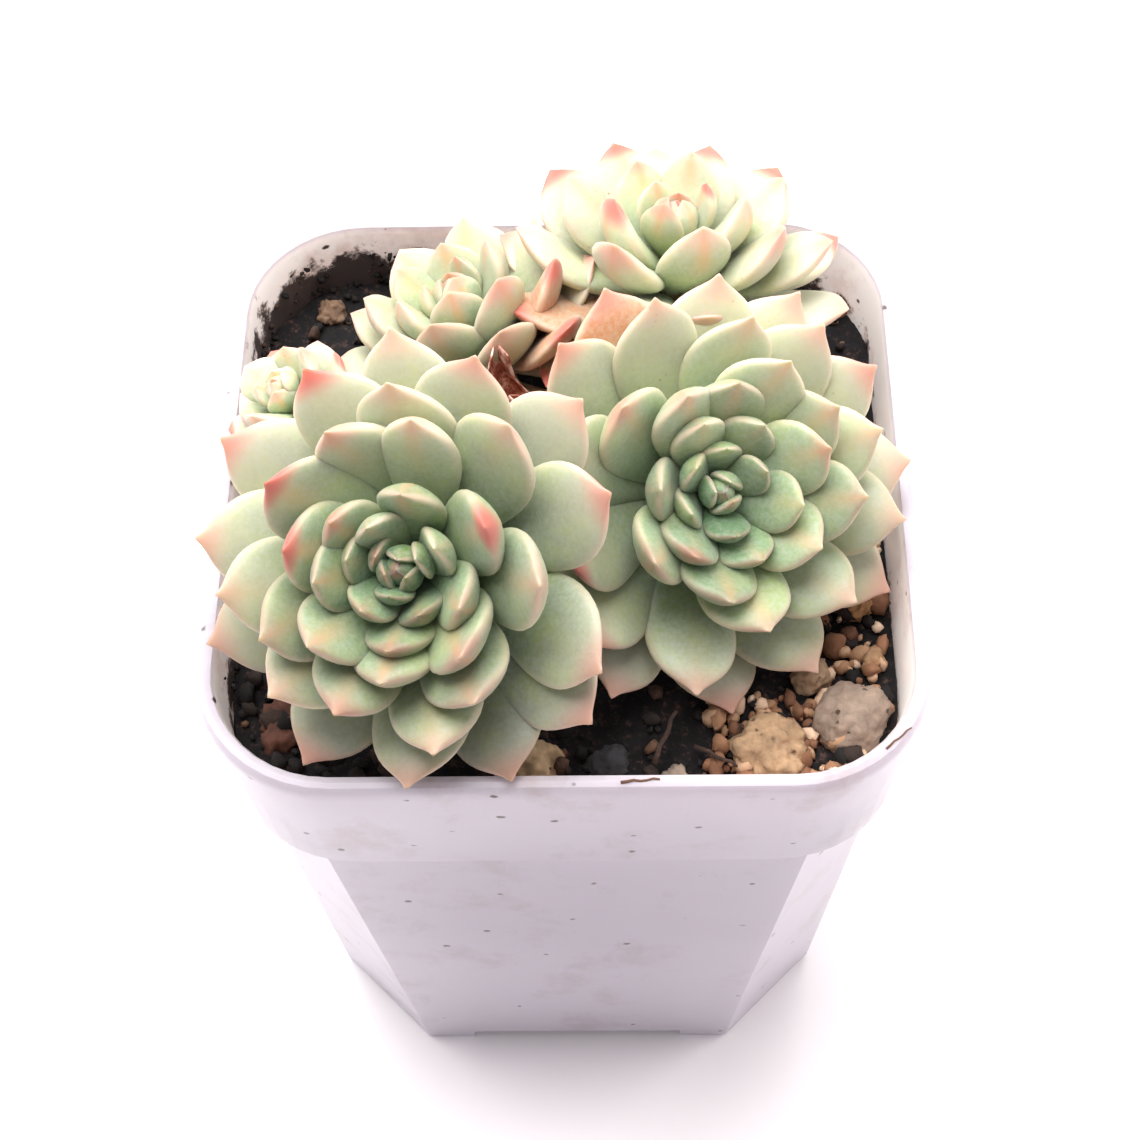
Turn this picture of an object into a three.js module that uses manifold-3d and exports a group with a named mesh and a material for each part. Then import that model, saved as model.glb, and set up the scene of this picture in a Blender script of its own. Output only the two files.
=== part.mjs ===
// A cluster of five echeveria rosettes in a square plastic nursery pot. Millimetres, +Z up.
// The origin is on the ground under the middle of the pot; the front wall faces -Y.
import * as THREE from "three";
import { mergeVertices } from "three/addons/utils/BufferGeometryUtils.js";
import Module from "manifold-3d";

const wasm = await Module();
wasm.setup();

// ---- driving dimensions -------------------------------------------------------------------

const clearance = 0.3; // kept between pieces that touch

const pot = {
  height: 78,
  rimHalf: 35, // half the width over the rim
  rimCorner: 13.5,
  lip: 1.8, // thickness of the rim's top edge
  lipRounding: 0.8,
  bandHeight: 18.5, // the thicker collar round the top
  bandHalf: 33.5, // half the width at the collar's lower edge
  bandCorner: 12.5,
  bodyHalf: 31.75, // half the width just under the collar
  bodyChamfer: 7.5,
  baseHalf: 28.5,
  baseChamfer: 10.5,
  wall: 1.4,
  floor: 1.6,
  footHeight: 2,
  footWidth: 2.6,
  footChamfer: 9.5, // of the foot's inner face
  notchWidth: 25, // the gap in the foot on each side
  drainRadius: 4.5,
  drainSide: 2.5, // radius of the four small drain holes
  drainRing: 15, // distance of the small holes from the middle
  drainSides: 20,
};

const soil = {
  belowRim: 8.5, // at the wall
  mound: 2.2, // rise in the middle
  roughness: 0.5,
  rings: [0.85, 0.66, 0.45, 0.22], // where its surface has points, as shares of its half width
};

const stemRadius = 1.5;
const smallStemRadius = 1.0;
const stem = { rooted: 4, straight: 2, steps: 9 }; // depth in the soil, straight length under the leaves
// The collars that join each whorl's leaves; the top one stands at this share of the dome.
const collar = { height: 1.1, pitch: 1.8, radius: 2.9, sides: 6, top: 0.54 };

// A leaf of the full length has the full width and thickness; shorter leaves are slimmer.
const leaf = { length: 21, width: 10.4, thickness: 2.8, widthPower: 0.55, bow: 0.07 };

// Stations along a leaf from its base: place, width and thickness as shares of the largest.
const leafStations = [
  [0, 0.3, 0.36],
  [0.4, 0.78, 0.76],
  [0.78, 0.88, 0.84],
];
// A leaf's section, a keel under a flat face: shares of the width and of the thickness.
const leafSection = [
  [0.5, 0.12],
  [0.2, 0.3],
  [-0.2, 0.3],
  [-0.5, 0.12],
  [0, -0.65],
];

// Each rosette: where its middle is (x and y from the pot's middle, z above the rim), how far it leans per unit of height, the radius and height of the dome that its leaf
// tips lie on, its stem's radius, where the stem leaves the soil (shares of the soil's half
// width), and its whorls from the outside in. A whorl has the angle at which its tips stand on
// the dome, and the turn of each leaf about the axis.
const rosettes = {
  front_left: {
    middle: [-12.81, -17.5, 11.3],
    lean: [-0.22, -0.78],
    spread: 21.5,
    dome: 13.5,
    stem: stemRadius,
    foot: [-0.26, -0.22],
    whorls: [
      { rise: 8, turns: [36, 88, 140, 193, 232, 286, 311] },
      { rise: 24, turns: [12, 63, 109, 165, 262, 325] },
      { rise: 40, turns: [43, 84, 180, 216, 274] },
      { rise: 51, turns: [73, 107, 137, 199, 240, 295, 348] },
      { rise: 63, turns: [17, 161, 214, 257, 304] },
      { rise: 73, turns: [73, 175, 319] },
      { rise: 78, turns: [116, 264] },
      { rise: 83, turns: [20, 140, 210, 310] },
    ],
  },
  front_right: {
    middle: [13.2, -6.51, 6.5],
    lean: [0.4, -0.72],
    spread: 21.5,
    dome: 12,
    stem: stemRadius,
    foot: [0.26, -0.03],
    whorls: [
      { rise: 9, turns: [20, 75, 130, 205, 256, 290, 345] },
      { rise: 20, turns: [48, 100, 150, 176, 228, 314] },
      { rise: 29, turns: [4, 68, 122, 240, 275] },
      { rise: 40, turns: [33, 93, 180, 215, 333] },
      { rise: 52, turns: [10, 49, 78, 156, 297] },
      { rise: 62, turns: [36, 100, 131, 232, 279, 341] },
      { rise: 72, turns: [2, 171, 220, 296] },
      { rise: 83, turns: [58, 134, 250] },
    ],
  },
  back_right: {
    middle: [10.99, 18.52, 8],
    lean: [0.05, 0.3],
    spread: 18.5,
    dome: 12.5,
    stem: stemRadius,
    foot: [0.26, 0.36],
    whorls: [
      { rise: -16, turns: [40, 128, 190, 226, 256, 300] },
      { rise: 8, turns: [20, 65, 110, 160, 205, 275, 338] },
      { rise: 33, turns: [45, 95, 142, 182, 250, 280, 350] },
      { rise: 52, turns: [18, 70, 122, 160, 236, 334] },
      { rise: 68, turns: [75, 124, 205, 289, 342] },
      { rise: 80, turns: [20, 130, 245] },
    ],
  },
  back_left: {
    middle: [-8.5, 14, 4],
    lean: [-0.4, 0.28],
    spread: 15,
    dome: 11.5,
    stem: stemRadius,
    foot: [-0.2, 0.34],
    whorls: [
      { rise: -6, turns: [80, 170, 215, 300, 345] },
      { rise: 20, turns: [15, 62, 105, 148, 190, 228, 330] },
      { rise: 40, turns: [42, 85, 128, 176, 243, 305, 356] },
      { rise: 56, turns: [81, 135, 191, 270, 325] },
      { rise: 69, turns: [27, 100, 162, 215, 290] },
      { rise: 81, turns: [60, 200, 310] },
    ],
  },
  small_left: {
    middle: [-26.5, 6.51, 3],
    lean: [-0.55, 0.05],
    spread: 7.5,
    dome: 6.5,
    stem: smallStemRadius,
    foot: [-0.55, 0.16],
    whorls: [
      { rise: 25, turns: [20, 64, 110, 155, 198, 245, 290, 335] },
      { rise: 54, turns: [30, 78, 138, 217, 252, 330] },
      { rise: 78, turns: [11, 96, 200, 290] },
    ],
  },
};
// Loose stones on the soil: x and y as shares of the soil's half width, length, width and
// height in mm, turn in degrees, colour.
const stones = {
  tan_stone_large: { at: [0.61, -0.83], size: [7.6, 7.0, 6.4], turn: 20, colour: 0xb59c7f },
  grey_stone_round: { at: [0.86, -0.73], size: [7.2, 6.6, 5.8], turn: 70, colour: 0xa9998b },
  cream_stone: { at: [0.84, -0.945], size: [5.2, 2.6, 3.8], turn: 5, colour: 0xd8c8b4 },
  tan_stone_small: { at: [0.74, -0.58], size: [4.6, 3.8, 3.4], turn: 130, colour: 0xb99b78 },
  brown_stone_right: { at: [0.94, -0.52], size: [2.6, 4.2, 3.0], turn: 0, colour: 0xa88667 },
  amber_gravel: { at: [0.9, -0.3], size: [4.8, 4.4, 3.8], turn: 45, colour: 0xb98a58 },
  cream_gravel: { at: [0.935, -0.1], size: [2.8, 3.6, 2.8], turn: 80, colour: 0xcfb392 },
  tan_stone_front: { at: [-0.12, -0.87], size: [8.2, 5.2, 4.6], turn: 178, colour: 0xc0a27c },
  black_stone_front: { at: [0.13, -0.88], size: [4.4, 4.6, 4.0], turn: 60, colour: 0x2c2b2d },
  grey_stone_front: { at: [0.33, -0.93], size: [3.4, 3.0, 2.6], turn: 30, colour: 0x8b7d70 },
  bark_chip_left: { at: [-0.86, -0.72], size: [6.0, 3.0, 2.4], turn: 120, colour: 0x5d3a2c },
  gravel_back_left: { at: [-0.8, 0.86], size: [3.8, 3.2, 2.8], turn: 15, colour: 0x7a5f4a },
  gravel_back_right: { at: [0.92, 0.86], size: [3.8, 3.4, 3.0], turn: 50, colour: 0x9a7a5a },
  gravel_right_middle: { at: [0.945, 0.16], size: [2.6, 3.2, 2.6], turn: 25, colour: 0xb39a7c },
};
const stoneSunk = 0.35; // share of a stone's height that lies in the soil
const stoneWaves = 0.07; // how far a stone is from round
const fineStone = 4.5; // stones longer than this get smaller facets

const deadLeaf = {
  at: [-0.13, 0.06], // shares of the soil's half width
  height: 11, // above the soil
  width: 3.4,
  thickness: 0.7,
  curl: 1.3,
  rings: 4,
};

// ---- solids -------------------------------------------------------------------------------

const radians = THREE.MathUtils.degToRad;
const vector = (x, y, z) => new THREE.Vector3(x, y, z);

function solidOf(geometry) {
  const bare = new THREE.BufferGeometry().setAttribute("position", geometry.getAttribute("position"));
  bare.setIndex(geometry.index);
  const merged = mergeVertices(bare, 1e-4);
  return new wasm.Manifold(
    new wasm.Mesh({
      numProp: 3,
      vertProperties: merged.attributes.position.array,
      triVerts: new Uint32Array(merged.index.array),
    }),
  );
}

function geometryOf(solid) {
  const mesh = solid.getMesh();
  const geometry = new THREE.BufferGeometry();
  geometry.setAttribute("position", new THREE.BufferAttribute(new Float32Array(mesh.vertProperties), 3));
  geometry.setIndex(new THREE.BufferAttribute(new Uint32Array(mesh.triVerts), 1));
  geometry.computeVertexNormals();
  return geometry;
}

const joined = (solids) => solids.reduce((whole, next) => whole.add(next));

// A cut can leave crumbs: the largest body is the piece.
function largestBody(solid) {
  const bodies = solid.simplify(0.15).decompose();
  return bodies.reduce((best, next) => (next.volume() > best.volume() ? next : best));
}

// Skins rings of equally many points, closed at each end by a point.
function loft(rings, first, last) {
  const count = rings[0].length;
  const points = [first, ...rings.flat(), last];
  const at = (ring, i) => 1 + ring * count + (i % count);
  const faces = [];
  for (let i = 0; i < count; i += 1) {
    faces.push(0, at(0, i + 1), at(0, i));
    for (let ring = 0; ring + 1 < rings.length; ring += 1) {
      faces.push(at(ring, i), at(ring, i + 1), at(ring + 1, i + 1));
      faces.push(at(ring, i), at(ring + 1, i + 1), at(ring + 1, i));
    }
    faces.push(points.length - 1, at(rings.length - 1, i), at(rings.length - 1, i + 1));
  }
  const geometry = new THREE.BufferGeometry().setFromPoints(points);
  geometry.setIndex(faces);
  return geometry;
}

// ---- pot ----------------------------------------------------------------------------------

const cornerSteps = 4;

// A square outline whose corners go from a chamfer (round 0) to an arc (round 1).
function squareRing(half, corner, round, z) {
  const ring = [];
  for (let quarter = 0; quarter < 4; quarter += 1) {
    for (let step = 0; step <= cornerSteps; step += 1) {
      const share = step / cornerSteps;
      const angle = (share * Math.PI) / 2;
      const x = half - corner + corner * THREE.MathUtils.lerp(1 - share, Math.cos(angle), round);
      const y = half - corner + corner * THREE.MathUtils.lerp(share, Math.sin(angle), round);
      ring.push(vector(x, y, z).applyAxisAngle(vector(0, 0, 1), (quarter * Math.PI) / 2));
    }
  }
  return ring;
}

function loftUp(rings) {
  const middle = (ring) => vector(0, 0, ring[0].z);
  return loft(rings, middle(rings[0]), middle(rings[rings.length - 1]));
}

const bandFoot = pot.height - pot.bandHeight;
const floorTop = pot.footHeight + pot.floor;

// Half the width of the body's outside at a height, and its corner.
function bodyAt(z) {
  const share = z / bandFoot;
  return {
    half: THREE.MathUtils.lerp(pot.baseHalf, pot.bodyHalf, share),
    corner: THREE.MathUtils.lerp(pot.baseChamfer, pot.bodyChamfer, share),
  };
}

// Rings of the pot's inside, pulled in by a gap.
function insideRings(gap, top) {
  const low = bodyAt(floorTop);
  const high = bodyAt(bandFoot - pot.wall);
  const bandHalf = pot.bandHalf - pot.wall - gap;
  const rimHalf = pot.rimHalf - pot.lip - gap;
  const share = (top - bandFoot) / pot.bandHeight;
  const corner = pot.rimCorner - pot.lip;
  return [
    squareRing(low.half - pot.wall - gap, low.corner - gap, 0, floorTop + gap),
    squareRing(high.half - pot.wall - gap, high.corner - gap, 0, bandFoot - pot.wall + gap),
    squareRing(bandHalf, corner - gap, 1, bandFoot + gap),
    squareRing(THREE.MathUtils.lerp(bandHalf, rimHalf, share), corner - gap, 1, top),
  ];
}

function potSolid(grow) {
  const base = bodyAt(0);
  const step = 0.01; // keeps the two rings at the collar's foot apart
  const outside = loftUp([
    squareRing(base.half + grow, base.corner, 0, -grow),
    squareRing(pot.bodyHalf + grow, pot.bodyChamfer, 0, bandFoot - grow),
    squareRing(pot.bandHalf + grow, pot.bandCorner, 1, bandFoot - grow + step),
    squareRing(pot.rimHalf + grow, pot.rimCorner, 1, pot.height - pot.lipRounding),
    squareRing(pot.rimHalf - pot.lipRounding / 2 + grow, pot.rimCorner, 1, pot.height + grow),
  ]);
  const inside = insideRings(grow, pot.height);
  const mouth = inside[3].map((point) => point.clone().setZ(pot.height + grow + 1));
  return solidOf(outside).subtract(solidOf(loftUp([...inside, mouth])));
}

function drumAt(x, y, radius, low, high, sides) {
  const drum = new THREE.CylinderGeometry(radius, radius, high - low, sides);
  drum.rotateX(Math.PI / 2).translate(x, y, (low + high) / 2);
  return solidOf(drum);
}

function makePot() {
  const base = bodyAt(0);
  const hollowHalf = base.half - pot.footWidth;
  const under = loftUp([
    squareRing(hollowHalf, pot.footChamfer, 0, -1),
    squareRing(hollowHalf, pot.footChamfer, 0, pot.footHeight),
  ]);
  const notch = () => new THREE.BoxGeometry(pot.notchWidth, 4 * pot.baseHalf, 2 * pot.footHeight);
  const holes = [drumAt(0, 0, pot.drainRadius, -1, floorTop + 1, pot.drainSides)];
  for (let quarter = 0; quarter < 4; quarter += 1) {
    const angle = (quarter * Math.PI) / 2 + Math.PI / 4;
    const x = pot.drainRing * Math.cos(angle);
    const y = pot.drainRing * Math.sin(angle);
    holes.push(drumAt(x, y, pot.drainSide, -1, floorTop + 1, pot.drainSides - 8));
  }
  const cuts = [solidOf(under), solidOf(notch()), solidOf(notch().rotateZ(Math.PI / 2)), ...holes];
  return potSolid(0).subtract(joined(cuts));
}

// ---- soil and stones ----------------------------------------------------------------------

const soilEdge = pot.height - soil.belowRim;
const soilRings = insideRings(clearance, soilEdge);
const soilHalf = soilRings[3][0].x;

// Height of the soil's surface: a low mound with gentle lumps.
function soilHeight(x, y) {
  const out = Math.min(1, Math.hypot(x, y) / soilHalf);
  const lumps = Math.sin(x * 0.37 + 1) * Math.cos(y * 0.41) + 0.6 * Math.sin(x * 0.83 - y * 0.6);
  return soilEdge + soil.mound * (1 - out * out) + soil.roughness * lumps * (1 - out ** 6);
}

function soilSolid() {
  const shrunk = (share) =>
    soilRings[3].map((point) => {
      const x = point.x * share;
      const y = point.y * share;
      return vector(x, y, soilHeight(x, y));
    });
  const rings = [...soilRings, ...soil.rings.map(shrunk)];
  return solidOf(loft(rings, vector(0, 0, rings[0][0].z), vector(0, 0, soilHeight(0, 0))));
}

function stonePlace(stone) {
  const x = stone.at[0] * soilHalf;
  const y = stone.at[1] * soilHalf;
  const height = stone.size[2];
  return vector(x, y, soilHeight(x, y) + height * (0.5 - stoneSunk));
}

function stoneSolid(stone, order, grow) {
  const ball = new THREE.IcosahedronGeometry(0.5, stone.size[0] > fineStone ? 1 : 0);
  const positions = ball.getAttribute("position");
  for (let i = 0; i < positions.count; i += 1) {
    const point = vector().fromBufferAttribute(positions, i);
    const side = Math.sin(point.x * 9 + order * 2.1) * Math.cos(point.y * 8 + order);
    const wave = side + Math.sin(point.z * 7 + order * 1.3);
    point.multiplyScalar(1 + stoneWaves * wave);
    positions.setXYZ(i, point.x, point.y, point.z);
  }
  const size = stone.size.map((side) => side + 2 * grow);
  const place = stonePlace(stone);
  ball.scale(...size).rotateZ(radians(stone.turn)).translate(place.x, place.y, place.z);
  return solidOf(ball);
}

// ---- rosettes -----------------------------------------------------------------------------

function rosetteFrame(rosette) {
  const [x, y, z] = rosette.middle;
  const axis = vector(rosette.lean[0], rosette.lean[1], 1).normalize();
  const right = vector(0, 1, 0).cross(axis).normalize();
  const back = axis.clone().cross(right);
  const middle = vector(x, y, pot.height + z);
  return { axis, right, back, middle };
}

// Where a whorl's collar sits on the stem, measured along the axis from the rosette's middle.
function collarHeight(rosette, index) {
  const crown = collar.top * rosette.dome;
  return crown - collar.pitch * (rosette.whorls.length - 1 - index);
}

// One leaf from its base on the collar to its tip on the dome.
function leafSolid(rosette, frame, index, turn, grow) {
  const rise = radians(rosette.whorls[index].rise);
  const angle = radians(turn);
  const out = frame.right.clone().multiplyScalar(Math.cos(angle));
  out.addScaledVector(frame.back, Math.sin(angle));
  const baseRadius = (collar.radius + rosette.stem) / 2;
  const base = frame.middle.clone().addScaledVector(frame.axis, collarHeight(rosette, index));
  base.addScaledVector(out, baseRadius);
  const tip = frame.middle.clone().addScaledVector(frame.axis, rosette.dome * Math.sin(rise));
  tip.addScaledVector(out, rosette.spread * Math.cos(rise));
  const along = tip.clone().sub(base);
  const length = along.length();
  along.normalize();
  const side = frame.axis.clone().cross(out);
  const face = along.clone().cross(side); // the leaf's upper face looks to the axis
  const slim = (length / leaf.length) ** leaf.widthPower;
  const width = leaf.width * slim;
  const thickness = leaf.thickness * slim;
  const spine = (share) => {
    const point = base.clone().addScaledVector(along, length * share);
    return point.addScaledVector(face, -leaf.bow * length * Math.sin(Math.PI * share));
  };
  const rings = leafStations.map(([share, wide, thick]) =>
    leafSection.map(([across, up]) => {
      const point = spine(share);
      point.addScaledVector(side, across * (width * wide + 2 * grow));
      return point.addScaledVector(face, up * (thickness * thick + 2 * grow));
    }),
  );
  const end = tip.clone().addScaledVector(along, grow);
  return solidOf(loft(rings, base.clone().addScaledVector(along, -grow), end));
}

// A ring about the rosette's axis, or a disc where the inner radius is nought.
function ringSolid(rosette, frame, inner, outer, low, high) {
  const profile = [
    new THREE.Vector2(inner, low),
    new THREE.Vector2(outer, low),
    new THREE.Vector2(outer, high),
    new THREE.Vector2(inner, high),
  ];
  if (inner > 0) profile.push(new THREE.Vector2(inner, low));
  const ring = new THREE.LatheGeometry(profile, collar.sides);
  const turned = new THREE.Matrix4().makeBasis(frame.right, frame.axis, frame.back.clone().negate());
  ring.applyMatrix4(turned).translate(frame.middle.x, frame.middle.y, frame.middle.z);
  return solidOf(ring);
}

function whorlSolid(rosette, frame, index, grow) {
  const turns = rosette.whorls[index].turns;
  const centre = collarHeight(rosette, index);
  const low = centre - collar.height / 2 - grow;
  const high = centre + collar.height / 2 + grow;
  const top = index === rosette.whorls.length - 1;
  const inner = top || grow > 0 ? 0 : rosette.stem + clearance;
  const ring = ringSolid(rosette, frame, inner, collar.radius + grow, low, high);
  return joined([ring, ...turns.map((turn) => leafSolid(rosette, frame, index, turn, grow))]);
}

// The stem: a curve out of the soil that turns into the rosette's axis.
function stemSolid(rosette, frame, grow) {
  const radius = rosette.stem + grow;
  const x = rosette.foot[0] * soilHalf;
  const y = rosette.foot[1] * soilHalf;
  const ground = soilHeight(x, y);
  const last = rosette.whorls.length - 1;
  const top = collarHeight(rosette, last) - collar.height / 2 - clearance + grow;
  const bottom = collarHeight(rosette, 0) - stem.straight;
  const path = new THREE.CatmullRomCurve3([
    vector(x, y, ground - stem.rooted - grow),
    vector(x, y, ground),
    frame.middle.clone().addScaledVector(frame.axis, bottom),
    frame.middle.clone().addScaledVector(frame.axis, top),
  ]);
  const outline = new THREE.Shape();
  for (let i = 0; i < collar.sides; i += 1) {
    const angle = (2 * Math.PI * i) / collar.sides;
    const point = [radius * Math.cos(angle), radius * Math.sin(angle)];
    if (i === 0) outline.moveTo(...point);
    else outline.lineTo(...point);
  }
  outline.closePath();
  const sweep = { steps: stem.steps, extrudePath: path, bevelEnabled: false };
  return solidOf(new THREE.ExtrudeGeometry(outline, sweep));
}

// A dried leaf, curled and standing on the soil between the rosettes.
function deadLeafSolid() {
  const x = deadLeaf.at[0] * soilHalf;
  const y = deadLeaf.at[1] * soilHalf;
  const ground = soilHeight(x, y) + clearance;
  const shares = Array.from({ length: deadLeaf.rings }, (_, i) => i / (deadLeaf.rings - 1));
  const rings = shares.map((share) => {
    const half = (deadLeaf.width / 2) * Math.sin(0.5 + 2.2 * share);
    const lean = deadLeaf.curl * Math.sin(4 * share);
    const z = ground + share * deadLeaf.height;
    return [
      vector(x + half, y + lean, z),
      vector(x, y + lean + deadLeaf.thickness, z),
      vector(x - half, y + lean, z),
      vector(x, y + lean + deadLeaf.curl / 2 - deadLeaf.thickness, z),
    ];
  });
  const end = (ring) => ring[0].clone().add(ring[2]).multiplyScalar(0.5);
  return solidOf(loft(rings, end(rings[0]), end(rings[rings.length - 1])));
}

// ---- assembly -----------------------------------------------------------------------------

const group = new THREE.Group();

function place(name, solid, colour, roughness = 0.5) {
  const material = new THREE.MeshStandardMaterial({ color: colour, roughness, metalness: 0 });
  const mesh = new THREE.Mesh(geometryOf(solid), material);
  mesh.name = name;
  group.add(mesh);
}

const leafColours = [0xa9b98a, 0xc3cf9e, 0xbcd09c, 0xb2cf9c, 0xa9cc9f, 0x9fc9a2, 0x93c3a0, 0x86bb98];

place("pot", makePot(), 0xf4f1f4, 0.25);

// Pieces made first keep their shape; later ones give way to them by the clearance.
let taken = potSolid(clearance);
const stems = Object.entries(rosettes).map(([name, rosette]) => {
  const frame = rosetteFrame(rosette);
  return { name, solid: stemSolid(rosette, frame, 0), room: stemSolid(rosette, frame, clearance) };
});
let stemRoom = joined(stems.map((entry) => entry.room));

for (const [name, rosette] of Object.entries(rosettes)) {
  const frame = rosetteFrame(rosette);
  const last = rosette.whorls.length - 1;
  let above = null;
  for (let index = last; index >= 0; index -= 1) {
    let solid = whorlSolid(rosette, frame, index, 0).subtract(taken);
    if (index < last) solid = solid.subtract(above).subtract(stemRoom);
    const label = index === last ? "heart" : `leaves_${index + 1}`;
    place(`${name}_${label}`, largestBody(solid), leafColours[last - index], 0.55);
    const room = whorlSolid(rosette, frame, index, clearance);
    above = above ? above.add(room) : room;
  }
  taken = taken.add(above);
}

for (const { name, solid } of stems) place(`${name}_stem`, solid, 0x8a7a55, 0.8);
taken = taken.add(stemRoom);

place("dried_leaf", largestBody(deadLeafSolid().subtract(taken)), 0x7a4a3a, 0.9);
taken = taken.add(deadLeafSolid());

let stoneRoom = null;
Object.entries(stones).forEach(([name, stone], order) => {
  const solid = stoneSolid(stone, order, 0).subtract(taken);
  place(name, largestBody(solid), stone.colour, 0.9);
  const room = stoneSolid(stone, order, clearance);
  stoneRoom = stoneRoom ? stoneRoom.add(room) : room;
  taken = taken.add(room);
});

place("soil", largestBody(soilSolid().subtract(stoneRoom).subtract(stemRoom)), 0x3a2c24, 0.95);

export default group;
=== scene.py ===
# A cluster of five echeveria rosettes in a white square nursery pot, on a pale floor.
# Sizes in the dictionaries are millimetres and degrees; meshes are made in metres.
import math
import random

import bpy
import numpy as np
from mathutils import Euler, Matrix, Vector


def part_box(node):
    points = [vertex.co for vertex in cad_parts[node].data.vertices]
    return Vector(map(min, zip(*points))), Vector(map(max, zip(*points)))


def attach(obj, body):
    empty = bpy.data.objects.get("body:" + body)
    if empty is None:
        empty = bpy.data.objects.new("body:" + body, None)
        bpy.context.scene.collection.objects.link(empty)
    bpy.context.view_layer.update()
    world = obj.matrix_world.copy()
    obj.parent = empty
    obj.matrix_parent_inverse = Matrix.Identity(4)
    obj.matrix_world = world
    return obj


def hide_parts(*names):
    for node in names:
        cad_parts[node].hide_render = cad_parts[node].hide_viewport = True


mm = 0.001
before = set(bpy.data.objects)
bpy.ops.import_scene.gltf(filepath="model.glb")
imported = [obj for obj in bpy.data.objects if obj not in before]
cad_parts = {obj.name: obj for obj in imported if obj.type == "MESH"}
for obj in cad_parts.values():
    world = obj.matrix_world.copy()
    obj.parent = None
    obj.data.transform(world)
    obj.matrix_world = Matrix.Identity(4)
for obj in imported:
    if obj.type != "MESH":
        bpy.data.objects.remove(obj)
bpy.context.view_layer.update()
print("frame loaded:", len(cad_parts), "nodes")


def deselectAll():
    if bpy.context.object and bpy.context.object.mode != "OBJECT":
        bpy.ops.object.mode_set(mode="OBJECT")
    bpy.ops.object.select_all(action="DESELECT")


def activate(*pieces):
    deselectAll()
    for piece in pieces:
        piece.select_set(True)
    bpy.context.view_layer.objects.active = pieces[0]
    return pieces[0]


def started(name):
    piece = bpy.context.object
    piece.name = name
    piece.data.name = name
    return piece


def selectWhere(piece, test):
    # Selects the vertices that pass, with the edges and faces between them.
    bpy.ops.object.mode_set(mode="OBJECT")
    mesh = piece.data
    for polygon in mesh.polygons:
        polygon.select = False
    for edge in mesh.edges:
        edge.select = False
    for vertex in mesh.vertices:
        vertex.select = bool(test(vertex.co))
    bpy.ops.object.mode_set(mode="EDIT")
    bpy.ops.mesh.select_mode(type="VERT")


def applyModifier(piece, kind, **settings):
    modifier = piece.modifiers.new(kind.title(), kind)
    for key, value in settings.items():
        setattr(modifier, key, value)
    activate(piece)
    bpy.ops.object.modifier_apply(modifier=modifier.name)


def cloudTexture(name, size, depth=2):
    texture = bpy.data.textures.new(name, "CLOUDS")
    texture.noise_scale = size * mm
    texture.noise_depth = depth
    return texture


def copyOf(piece, name):
    twin = piece.copy()
    twin.data = piece.data.copy()
    twin.name = name
    bpy.context.collection.objects.link(twin)
    return twin


def joinAll(pieces, name):
    whole = activate(*pieces)
    if len(pieces) > 1:
        bpy.ops.object.join()
    whole.name = name
    whole.data.name = name
    return whole


def setPlace(piece, matrix):
    piece.data.transform(matrix)
    piece.matrix_world = Matrix.Identity(4)


def paintValue(piece, name, value):
    mesh = piece.data
    layer = mesh.attributes.get(name) or mesh.attributes.new(name, "FLOAT", "POINT")
    layer.data.foreach_set("value", np.full(len(mesh.vertices), value, dtype=np.float32))


def finishPiece(piece, material, replaced=(), smoothAngle=None):
    piece.data.materials.clear()
    piece.data.materials.append(material)
    activate(piece)
    if smoothAngle is None:
        bpy.ops.object.shade_smooth()
    else:
        bpy.ops.object.shade_smooth_by_angle(angle=math.radians(smoothAngle))
    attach(piece, "root")
    if replaced:
        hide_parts(*replaced)
    return piece


def linear(hexText):
    channels = [int(hexText[i : i + 2], 16) / 255 for i in (1, 3, 5)]
    return tuple(c / 12.92 if c <= 0.04045 else ((c + 0.055) / 1.055) ** 2.4 for c in channels) + (1,)


def addNode(tree, kind, settings=None, links=None):
    node = tree.nodes.new(kind)
    for key, value in (settings or {}).items():
        if key == "stops":
            while len(node.color_ramp.elements) < len(value):
                node.color_ramp.elements.new(0.5)
            for element, (position, colour) in zip(node.color_ramp.elements, value):
                element.position = position
                element.color = linear(colour) if isinstance(colour, str) else (colour,) * 3 + (1,)
        elif isinstance(key, int) or key in node.inputs:
            node.inputs[key].default_value = value
        else:
            setattr(node, key, value)
    for key, source in (links or {}).items():
        tree.links.new(source, node.inputs[key])
    return node


def startMaterial(name, settings):
    material = bpy.data.materials.new(name)
    material.use_nodes = True
    tree = material.node_tree
    tree.nodes.clear()
    shader = addNode(tree, "ShaderNodeBsdfPrincipled", settings)
    addNode(tree, "ShaderNodeOutputMaterial", None, {"Surface": shader.outputs[0]})
    return material, tree, shader


def grainyMaterial(name, roughness, noiseShape, stops, bumpShape):
    # One noise colours and roughens it: noiseShape is grain in mm, detail and roughness,
    # bumpShape is strength and depth in mm.
    grain, detail, rough = noiseShape
    strength, depth = bumpShape
    material, tree, shader = startMaterial(name, {"Roughness": roughness, "IOR": 1.4})
    place = addNode(tree, "ShaderNodeTexCoord").outputs["Object"]
    noise = addNode(
        tree, "ShaderNodeTexNoise", {"Scale": 1 / (grain * mm), "Detail": detail, "Roughness": rough},
        {"Vector": place},
    )
    ramp = addNode(tree, "ShaderNodeValToRGB", {"stops": stops}, {0: noise.outputs[0]})
    tree.links.new(ramp.outputs[0], shader.inputs["Base Color"])
    bump = addNode(
        tree, "ShaderNodeBump", {"Strength": strength, "Distance": depth * mm}, {"Height": noise.outputs[0]}
    )
    tree.links.new(bump.outputs[0], shader.inputs["Normal"])
    return material


view = {
    "azimuth": 2.024,
    "elevation": 57.086,
    "roll": -2.209,
    "distance": 238.3,
    "fieldOfView": 28.54,
    "target": (0.30, 0.03, 60.8),
}

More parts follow.
